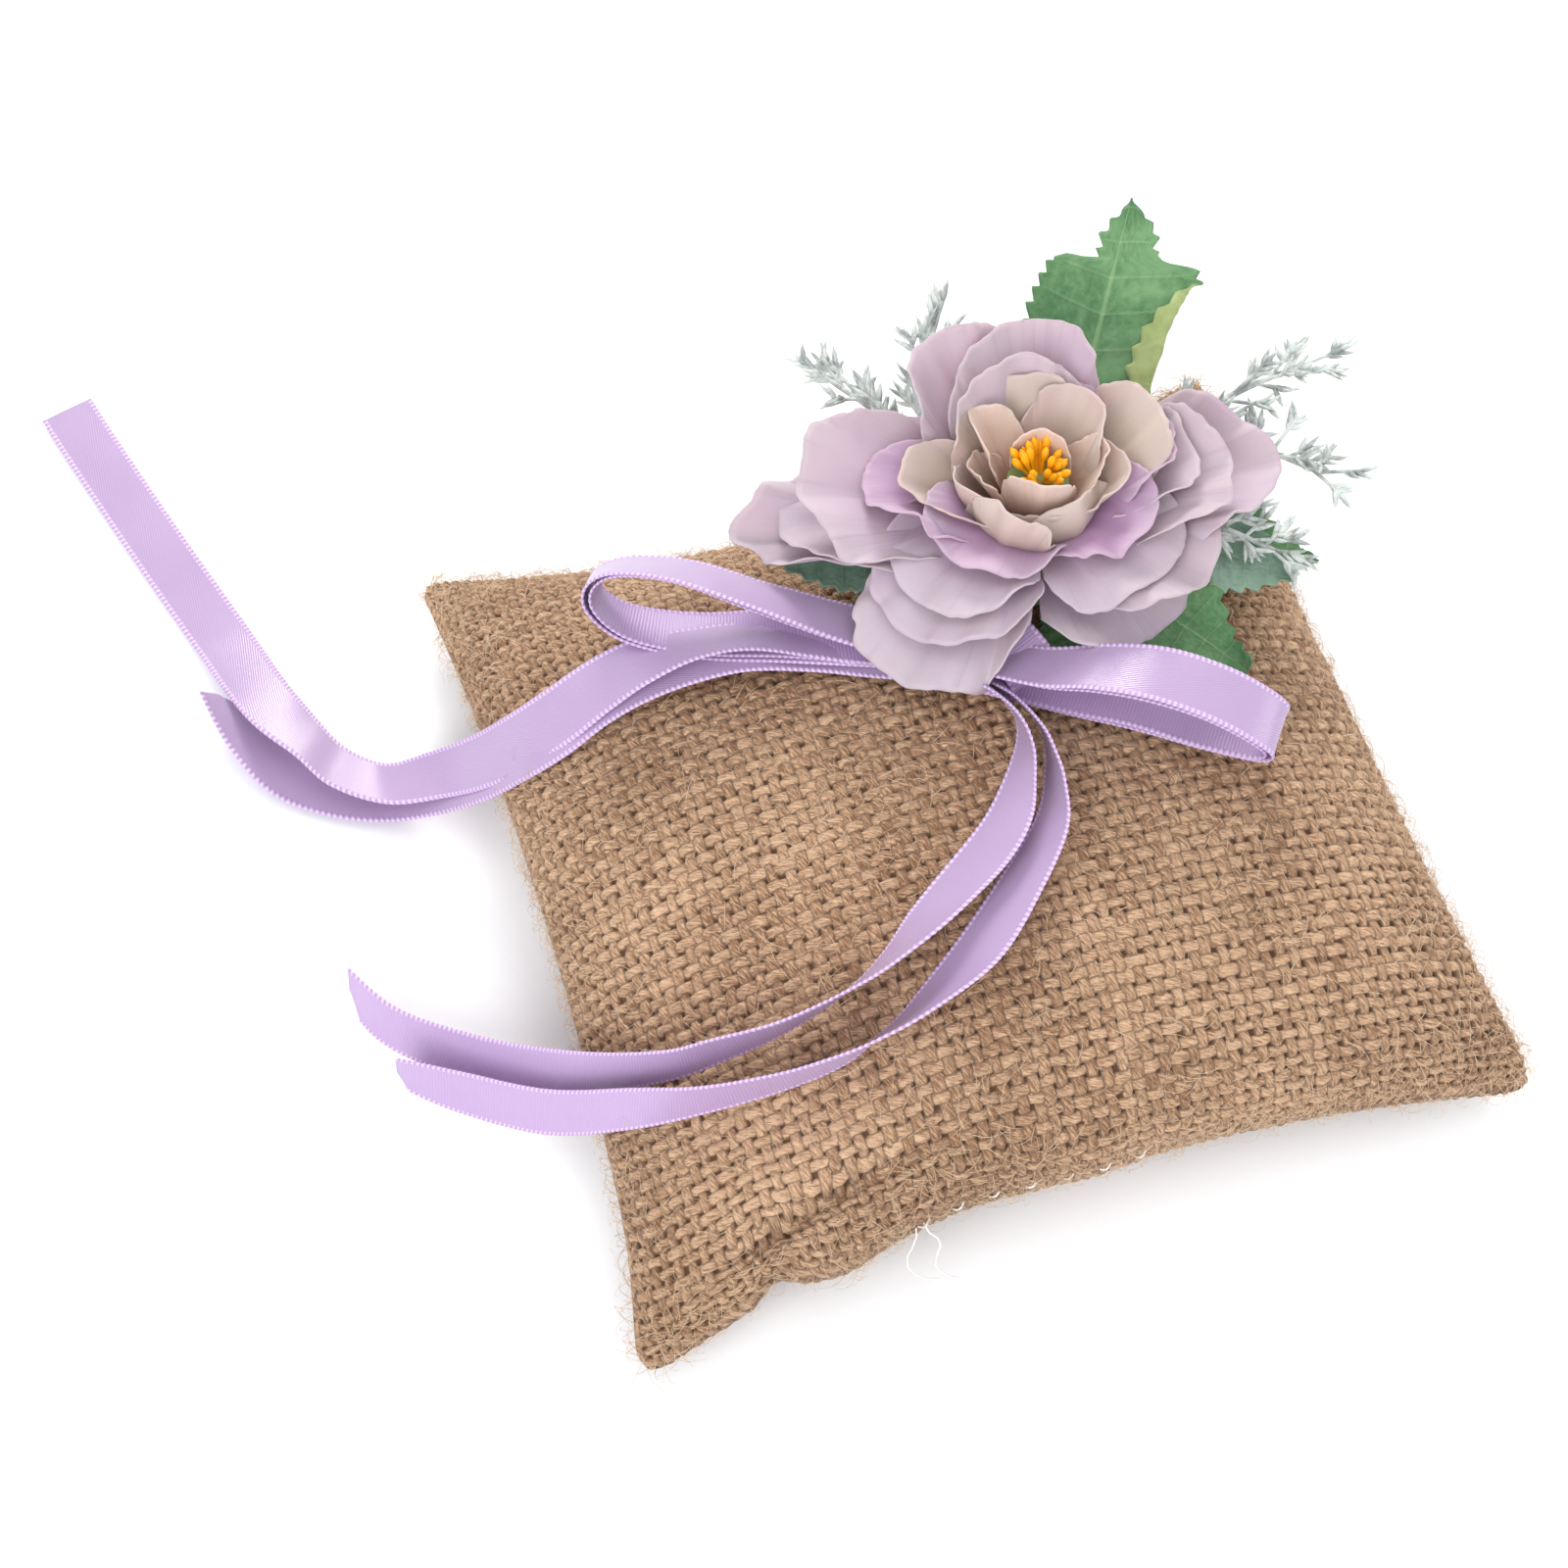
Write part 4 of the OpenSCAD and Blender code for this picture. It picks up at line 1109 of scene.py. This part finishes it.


# The lilac and violet roots are darker partly by dye and partly as painted shade in the depths of
# the flower.
lilac_silk = petal_finish("lilac_petal", paint(192, 177, 184), paint(188, 168, 180),
                          paint(162, 126, 160), paint(184, 160, 182))
violet_silk = petal_finish("violet_petal", paint(190, 166, 184), paint(172, 136, 170),
                           paint(146, 102, 150), paint(178, 146, 178))
mauve_silk = petal_finish("mauve_petal", paint(198, 180, 172), paint(194, 174, 160),
                          paint(192, 182, 138), paint(190, 160, 158))
cup_silk = petal_finish("cup_petal", paint(212, 190, 178), paint(206, 180, 162),
                        paint(200, 144, 112), paint(198, 168, 162))
print("finishes", [silk.name for silk in (lilac_silk, violet_silk, mauve_silk, cup_silk)])

# %% Petal layers: azimuth, length, slope at root and tip, half width, cup, point, curl
OUTER_LOW = [[168, 44, 8, 5, 9.5, 0.3, 0.22, 0], [106, 33, 38, 50, 12.5, 0.5, 0, 0],
             [-7, 37, 16, 22, 13.5, 0.4, 0.1, 0], [-62, 27, 20, -14, 14, 0.2, 0, 0],
             [-146, 37, 31, -22, 13.5, 0.15, 0.06, 0]]
OUTER_MIDDLE = [[169, 39, 15, 13, 13, 0.4, 0, 0], [80, 31, 42, 52, 13, 0.5, 0, 0],
                [-15, 32, 26, 30, 12, 0.5, 0, 0], [-47, 29, 30, 4, 13, 0.3, 0, 0],
                [-147, 32, 38, -10, 13.5, 0.2, 0, 0]]
OUTER_HIGH = [[166, 39, 26, 20, 14, 0.5, 0, 0], [88, 26, 50, 60, 12, 0.6, 0, 0],
              [-6, 27, 30, 32, 10, 0.6, 0, 0], [-60, 25.5, 47, 0, 12.5, 0.2, 0, 0.15],
              [-154, 28.5, 45, -7, 12.5, 0.2, 0, 0.15]]
COLLAR = [[172, 28, 34, 26, 11, 0.7, 0, 0], [56, 21, 46, 52, 9, 0.7, 0, 0],
          [0, 25, 34, 34, 9, 0.7, 0, 0], [-52, 21, 46, 30, 11, 0.6, 0, 0],
          [-146, 22, 46, 18, 12, 0.6, 0, 0]]
INNER_LOW = [[98, 22, 52, 60, 12, 0.5, 0.02, 0], [8, 26, 42, 40, 9.5, 0.6, 0, 0],
             [170, 24, 34, 40, 9, 0.8, 0, 0], [-136, 22, 8, 112, 9, 0.9, 0, 0],
             [-72, 19, 8, 118, 10, 0.9, 0, 0]]
INNER_HIGH = [[180, 19, 20, 84, 6.5, 1.0, 0, 0], [40, 20, 54, 56, 8, 0.8, 0, 0],
              [-20, 18, 36, 66, 8, 0.9, 0, 0], [-102, 15, 10, 116, 8, 1.0, 0, 0]]
CUP = [[122, 19, 54, 60, 5.5, 1.0, 0, 0], [158, 15, 40, 66, 5, 1.1, 0, 0],
       [-8, 17, 46, 72, 6, 1.1, 0, 0], [-108, 16, 50, 112, 7.5, 1.2, 0, 0.1]]
BUD = [[66, 14, 72, 84, 6, 1.1, 0, 0]]
LAYERS = (OUTER_LOW, OUTER_MIDDLE, OUTER_HIGH, COLLAR, INNER_LOW, INNER_HIGH, CUP, BUD)
print("petals in each layer", [len(petals) for petals in LAYERS])

# %% Build the petal layers


def petal_layer(name, petals, layer, material, node, seed, ruffle):
    """All petals of one layer and the small disc that joins them, thickened to cloth."""
    rng = np.random.default_rng(seed)
    height = BACKING_TOP + FIRST_LAYER + layer * LAYER_PITCH
    cut = Cutting()
    for number, (azimuth, length, root, tip, half, cup, point, curl) in enumerate(petals):
        grid, uv = petal(azimuth, length, root, tip, half, height + 0.12 * number, rng, cup,
                         ruffle * length / 32, point, curl)
        cut.add(grid, uv, tone=rng.random())
    turn = np.radians(np.linspace(0, 360, 25))[:, None]
    ring = np.linspace(1.5, HUB_RADIUS, 4)[None]
    hub = np.stack(np.broadcast_arrays(
        FLOWER_AXIS[0] + ring * np.cos(turn), FLOWER_AXIS[1] + ring * np.sin(turn),
        height - 0.15 + 0 * turn), -1)
    cut.add(hub, tone=0.5, flip=True)
    piece = cut.piece(name, material)
    solid = piece.modifiers.new("cloth", "SOLIDIFY")
    solid.thickness = PETAL_THICKNESS * MM
    solid.offset = 0
    slot = "inner_petals" if "inner" in name else "outer_petals"
    nodes = [node] if node else []
    return settle(piece, slot, *nodes)


petal_layer("petals_outer_low_layer", OUTER_LOW, 0, lilac_silk, "petals_outer_low", 31, 1.2)
petal_layer("petals_outer_middle_layer", OUTER_MIDDLE, 1, lilac_silk, "petals_outer_middle",
            32, 1.2)
petal_layer("petals_outer_high_layer", OUTER_HIGH, 2, lilac_silk, "petals_outer_high", 33, 1.2)
petal_layer("petals_violet_collar", COLLAR, 3.2, violet_silk, None, 38, 1.1)
petal_layer("petals_inner_low_layer", INNER_LOW, 3, mauve_silk, "petals_inner_low", 34, 1.1)
petal_layer("petals_inner_high_layer", INNER_HIGH, 4, mauve_silk, "petals_inner_high", 35, 1.0)
petal_layer("petals_inner_cup_layer", CUP, 5, cup_silk, "petals_cup", 36, 1.0)
petal_layer("petals_inner_bud_layer", BUD, 6, cup_silk, "petals_bud", 37, 0.8)

# %% [markdown]
# ## Stamens
# A tuft of yellow plastic stamens stands in the cup. Each is a thin filament that ends in
# a long anther, and they lean in all directions.

# %% Stamens
PEG_TOP = 59.0
STAMENS = 26
GOLDEN_TURN = 2.4


def stamen_finish():
    """Egg yellow with orange patches and a fine grain."""
    wax = Finish("stamen_yellow", 0.45, Subsurface_Weight=0.15, Subsurface_Scale=0.001)
    shade = wax.noise(wax.place(), 420.0, 2.0)
    wax.set(Base_Color=wax.mix(paint(240, 150, 10), paint(255, 205, 30), shade))
    wax.emboss(wax.noise(wax.place(), 2600.0), 0.05)
    return wax.material


def stamen_paths(count, seed):
    """Filaments from the peg's head, in a spiral of golden angles: they lean out by 6 to 40
    degrees, and out = 0.8 + height sin(lean) t^0.9, up = height cos(lean) t."""
    rng = np.random.default_rng(seed)
    turn = np.arange(count) * GOLDEN_TURN + rng.normal(size=count) * 0.3
    lean = np.radians(6 + 34 * np.sqrt(np.arange(count) / count))
    tall = rng.uniform(5.5, 8.0, count)
    t = np.linspace(0, 1, 9)[None]
    out = 0.8 + tall[:, None] * np.sin(lean)[:, None] * t ** 0.9
    up = tall[:, None] * np.cos(lean)[:, None] * t
    sway = rng.normal(size=(count, 1)) * 0.5 * t**2
    x = FLOWER_AXIS[0] + 0.6 + out * np.cos(turn)[:, None] - sway * np.sin(turn)[:, None]
    y = FLOWER_AXIS[1] + 0.6 + out * np.sin(turn)[:, None] + sway * np.cos(turn)[:, None]
    radii = np.where(t < 0.5, 0.28, 0.28 + 0.42 * np.sin(np.pi * np.clip((t - 0.5) / 0.5, 0, 1)))
    radii = np.where(t >= 1, 0.02, radii)
    return np.stack([x, y, PEG_TOP + 0.4 + up], -1), np.broadcast_to(radii, x.shape)


tuft = Cutting()
tuft.append(*tubes(*stamen_paths(STAMENS, 41), 8))
settle(tuft.piece("stamen_tuft", stamen_finish()), "stamens", "stamens")

# %% [markdown]
# ## Leaves
# The leaves are pressed from green cloth like the petals, with toothed edges and a raised
# net of veins, and they are paler and yellower underneath. A leaf is a blade along a bent
# middle rib. Its half width swells and tapers, with teeth that point to the tip at the rim,
# and the side veins leave the rib at a slant. The large leaf has two shoulders, and one of
# its edges is turned over and shows the paler side.

# %% Leaf shape
LEAF_THICKNESS = 0.3
TURN_SOFTNESS = 0.05
TURN_HEIGHT = 1.4
TURN_MIDDLE, TURN_REACH = 0.42, 0.26
SIDE_VEINS = 8
BLADE = [[0, 0.06], [0.12, 0.42], [0.3, 0.86], [0.46, 1.0], [0.62, 0.88], [0.78, 0.56],
         [0.9, 0.24], [1, 0.01]]


def turn_over(t, s, turned):
    """The right edge folded back over the blade along a soft crease. With b the distance
    past the crease and r = sqrt(b^2 + softness^2), the place across goes from t to
    t + b + r, and -b / r is 1 on the blade and -1 on the part that is turned over."""
    if not turned:
        return t, 1.0
    start = TURN_MIDDLE - TURN_REACH
    depth = turned * np.clip(np.sin(np.pi * (s - start) / (2 * TURN_REACH)), 0, 1) ** 0.8
    beyond = np.where(np.abs(s - TURN_MIDDLE) < TURN_REACH, depth - t - 1, -1.0)
    crease_round = np.sqrt(beyond**2 + TURN_SOFTNESS**2)
    return t + beyond + crease_round, -beyond / crease_round


def leaf_grid(base, azimuth, length, half, root, tip, fold, teeth, left, right, turned, rng,
              rows=150, cols=41):
    """A leaf as a grid. Its half width on each side runs through a few (place along the
    rib, share of the half width) stations, with saw teeth that point to the tip added at
    the rim; the sides rise by `fold` away from the rib, and the blade waves a little.
    `turned` is the share of the right side that is folded back over the blade."""
    s = np.linspace(0.0, 1, rows)[:, None]
    t = np.linspace(-1, 1, cols)[None, :]
    wide = [np.interp(s, *np.array(side, float).T) for side in (right, left)]
    width = half * np.where(t > 0, wide[1], wide[0])
    saw = (s * teeth) % 1
    tooth = np.where(saw < 0.8, saw / 0.8, (1 - saw) / 0.2) - 0.4
    rim = np.abs(t) ** 6
    fade = np.clip(s / 0.15, 0, 1) * np.clip((1 - s) / 0.04, 0, 1)
    side, flat = turn_over(t, s, turned)
    aside = side * width + t * flat * 1.3 * tooth * rim * fade
    slant = 0.25 * np.abs(aside) * (1 - s) ** 0.5
    out, up, slope = bend(root, tip, s)
    along = out * length + slant * np.cos(slope)
    lift = (fold * np.abs(aside) + wander(rng, 1, 6, rows).T * 0.9 * np.abs(t) ** 2
            + wander(rng, 1, 5, rows).T * 0.8 * t)
    lift = lift + TURN_HEIGHT * (1 - flat) / 2
    quilt = 0.5 * np.cos(2 * np.pi * s * SIDE_VEINS) * (1 - np.abs(t)) * np.abs(t)
    turn = np.radians(azimuth)
    x = base[0] + along * np.cos(turn) - aside * np.sin(turn)
    y = base[1] + along * np.sin(turn) + aside * np.cos(turn)
    z = base[2] + up * length + slant * np.sin(slope) + lift + quilt
    grid = np.stack(np.broadcast_arrays(x, y, z), -1)
    uv = np.stack(np.broadcast_arrays(t, s), -1)
    return grid, uv


print("leaf cloth", LEAF_THICKNESS, "mm thick, side veins", SIDE_VEINS)

# %% Leaf finishes


def leaf_finish(name, dark, light, vein_tint):
    """Clouds and a fine net between two greens, with a paler rib and side veins."""
    leaf = Finish(name, 0.62, Specular_IOR_Level=0.3, Sheen_Weight=0.1)
    across, share = leaf.cloth()
    side = abs(across)
    order = (share * float(SIDE_VEINS) - 0.25).fraction() - 0.5
    side_vein = 1 - leaf.step(abs(order), 0.01, 0.06)
    side_vein = side_vein * leaf.step(1 - side, 0.02, 0.3)
    rib = 1 - leaf.step(side, 0.01, 0.045)
    net = leaf.noise(leaf.vector(across * 9.0, share * 26.0), 1.0, 4.0, 0.65)
    cloud = leaf.noise(leaf.place(), 70.0, 3.0)
    body = leaf.mix(dark, light, leaf.step(cloud * 0.8 + net * 0.5, 0.45, 0.85))
    body = leaf.mix(body, vein_tint, (rib * 0.5 + side_vein * 0.2).clamp())
    leaf.set(Base_Color=body)
    leaf.emboss((rib + side_vein * 0.5).clamp() * 0.6 + net * 0.6, 0.22, 0.7)
    return leaf.material


leaf_top = leaf_finish("leaf_top", paint(66, 110, 66), paint(112, 152, 104), paint(146, 178, 128))
leaf_blue = leaf_finish("leaf_blue", paint(92, 122, 102), paint(134, 160, 140),
                        paint(152, 176, 152))
leaf_under = leaf_finish("leaf_under", paint(138, 156, 92), paint(172, 184, 124),
                         paint(190, 200, 146))
print("finishes", leaf_top.name, leaf_blue.name, leaf_under.name)

# %% Build the leaves


def leaf(name, node, base, azimuth, length, half, root, tip, seed, upper=leaf_top, fold=0.15,
         teeth=11, left=BLADE, right=BLADE, turned=0.0):
    """One leaf: the grid, thickened, with the paler finish underneath."""
    rng = np.random.default_rng(seed)
    grid, uv = leaf_grid(np.array(base, float), azimuth, length, half, root, tip, fold, teeth,
                         left, right, turned, rng)
    cut = Cutting()
    cut.add(grid, uv)
    piece = cut.piece(name, upper, leaf_under)
    solid = piece.modifiers.new("cloth", "SOLIDIFY")
    solid.thickness = LEAF_THICKNESS * MM
    solid.offset = -1
    solid.material_offset = 1
    return settle(piece, "leaves", node)


LOBED_LEFT = [[0, 0.3], [0.15, 0.62], [0.34, 0.84], [0.5, 0.92], [0.62, 0.86], [0.72, 0.78],
              [0.76, 0.52], [0.785, 0.22], [0.86, 0.26], [0.93, 0.15], [1, 0.01]]
LOBED_RIGHT = [[0, 0.3], [0.15, 0.75], [0.3, 1.15], [0.45, 1.28], [0.6, 1.18], [0.74, 1.04],
               [0.775, 0.6], [0.8, 0.46], [0.88, 0.42], [0.95, 0.24], [1, 0.01]]
leaf("leaf_back_lobed", "leaf_back", [29.5, 36, 44.6], 57, 52, 13.3, 22, 18, 51, fold=0.1,
     teeth=17, left=LOBED_LEFT, right=LOBED_RIGHT, turned=0.3)
leaf("leaf_right_upper_blade", "leaf_right_upper", [33.5, 27, 44.9], -31, 34, 9, 8, -24, 52,
     upper=leaf_blue)
leaf("leaf_right_lower_blade", "leaf_right_lower", [34, 28, 44], -22, 38, 9, 2, -24, 53)
leaf("leaf_front_right_blade", "leaf_front_right", [29, 19.5, 44.6], -55, 31, 8, 8, -12, 54)
leaf("leaf_front_blade", "leaf_front", [22, 17, 44.6], -85, 17, 8, 4, -4, 55)
leaf("leaf_left_blade", "leaf_left", [9, 31, 44.6], 172, 31, 8, 6, 2, 56, upper=leaf_blue)

# %% [markdown]
# ## Frosted twigs
# Sprigs of moulded plastic, sprayed silver grey. A bent stem carries side shoots, the outer
# part of each shoot bristles with needles, and some tips show the green plastic.

# %% Twigs
TWIGS = {
    "twig_left_back": [[15, 42, 46], [11, 54, 51], [17, 65, 56]],
    "twig_left_front": [[13, 40, 45.6], [6, 53, 50], [-2, 62, 54]],
    "twig_right_back": [[35, 35, 46], [60, 41, 50.5], [76, 44, 50]],
    "twig_right_middle": [[37, 32, 45.6], [59, 32, 49], [73, 27, 43]],
    "twig_right_front": [[37, 29, 45.2], [50, 21, 46.5], [61, 14, 42.5]],
}
STEM_RINGS, SHOOTS, NEEDLES = 25, 13, 7


def frost_finish():
    """Silver dust in two sizes of cloud; where the mark `tip` is high the green shows."""
    frost = Finish("frosted_twig", 0.55, Specular_IOR_Level=0.5)
    tip = frost.mark("tip")
    cloud = frost.noise(frost.place(), 260.0, 3.0)
    dust = frost.noise(frost.place(), 1500.0, 3.0)
    silver = frost.mix(paint(150, 156, 152), paint(222, 228, 222),
                       frost.step(cloud + dust * 0.3, 0.45, 0.8))
    frost.set(Base_Color=frost.mix(silver, paint(186, 200, 110), frost.step(tip, 0.9, 1.05) * 0.8))
    frost.emboss(dust * 0.7 + cloud * 0.5, 0.12)
    return frost.material


def spray(rng, heading, spread):
    """Unit directions at the angles `spread` from their headings, one per row, each turned
    to a random side: heading cos(spread) + side sin(spread)."""
    side = unit(np.cross(heading, rng.normal(size=heading.shape)))
    return unit(heading * np.cos(spread)[:, None] + side * np.sin(spread)[:, None])


def needle_paths(roots, ways, lengths, rings=5):
    """Short curved paths from each root, with a thickness that swells and then closes."""
    t = np.linspace(0, 1, rings)[None, :, None]
    paths = roots[:, None] + ways[:, None] * lengths[:, None, None] * t
    paths[..., 2] += 0.35 * t[..., 0] ** 2
    radii = np.array([0.3, 0.5, 0.46, 0.3, 0.02])[None] * np.ones((len(roots), 1))
    return paths, radii


def twig(name, node, points, seed):
    """A stem through three points, side shoots along its outer two thirds, and needles that
    point forward from the end of each shoot."""
    rng = np.random.default_rng(seed)
    stem = spline_weights(np.linspace(0, 2, STEM_RINGS), 3) @ np.array(points, float)
    cut = Cutting()
    cut.append(*tubes(stem[None], np.linspace(0.75, 0.4, STEM_RINGS)[None], 8), tip=0.0)
    place = np.linspace(8, STEM_RINGS - 1, SHOOTS).astype(int)
    roots = stem[place]
    heading = unit(np.gradient(stem, axis=0))[place]
    ways = spray(rng, heading, np.radians(np.where(place == STEM_RINGS - 1, 4, 48)))
    ways[:, 2] = np.abs(ways[:, 2]) * 0.6
    ways = unit(ways)
    length = rng.uniform(3.5, 7.5, SHOOTS)
    t = np.linspace(0, 1, 5)[None, :, None]
    shoots = roots[:, None] + ways[:, None] * length[:, None, None] * t
    cut.append(*tubes(shoots, np.full(shoots.shape[:2], 0.34), 6), tip=0.0)
    forward = np.repeat(ways, NEEDLES, 0)
    back = np.tile(np.linspace(0, 2.4, NEEDLES)[:, None], (SHOOTS, 1))
    ends = np.repeat(shoots[:, -1], NEEDLES, 0) - back * forward
    stars = spray(rng, forward, rng.uniform(0.35, 0.95, len(ends)))
    paths, radii = needle_paths(ends, stars, rng.uniform(2.6, 4.6, len(ends)))
    made, faces = tubes(paths, radii, 4)
    green = t * rng.uniform(0.7, 1.1, len(ends))[:, None, None]
    cut.append(made, faces, tip=np.broadcast_to(green, (len(ends), 5, 4)).ravel())
    return settle(cut.piece(name, frosted), "twigs", node)


frosted = frost_finish()
for number, (node, points) in enumerate(TWIGS.items()):
    twig(node.replace("twig", "frosted_twig"), node, points, 61 + number)

# %% [markdown]
# ## Felt, glue and peg
# These stay as the CAD made them, because their shapes are plain. They get the finish of
# pressed felt, of hot-melt glue and of moulded green plastic.

# %% Finishes of the CAD pieces


def dress(node, material):
    """Gives a carried-over CAD node its finish."""
    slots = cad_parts[node].data.materials
    slots.clear()
    slots.append(material)
    print(node, "gets", material.name)


def felt_finish():
    """Matted green fibres, as colour and relief."""
    felt = Finish("green_felt", 0.95, Sheen_Weight=0.4)
    fibres = felt.noise(felt.place(), 900.0, 5.0, 0.7)
    felt.set(Base_Color=felt.mix(paint(78, 112, 78), paint(128, 160, 122), fibres))
    felt.emboss(fibres, 0.3)
    return felt.material


def glue_finish():
    """Cloudy cream, glossy and lumpy."""
    glue = Finish("hot_glue", 0.25, Coat_Weight=0.3)
    cloud = glue.noise(glue.place(), 180.0)
    glue.set(Base_Color=glue.mix(paint(214, 206, 180), paint(238, 234, 216), cloud))
    glue.emboss(cloud, 0.6)
    return glue.material


def peg_finish():
    """Dull green plastic with a fine grain."""
    peg = Finish("green_peg", 0.4)
    cloud = peg.noise(peg.place(), 320.0)
    peg.set(Base_Color=peg.mix(paint(112, 138, 86), paint(150, 172, 112), cloud))
    peg.emboss(peg.noise(peg.place(), 1400.0), 0.05)
    return peg.material


dress("flower_backing", felt_finish())
dress("glue_pad", glue_finish())
dress("calyx_peg", peg_finish())

# %% [markdown]
# ## The end
# The visual model has to stay in the CAD model's box, apart from the fluff of soft parts.

# %% Update the view layer
bpy.context.view_layer.update()
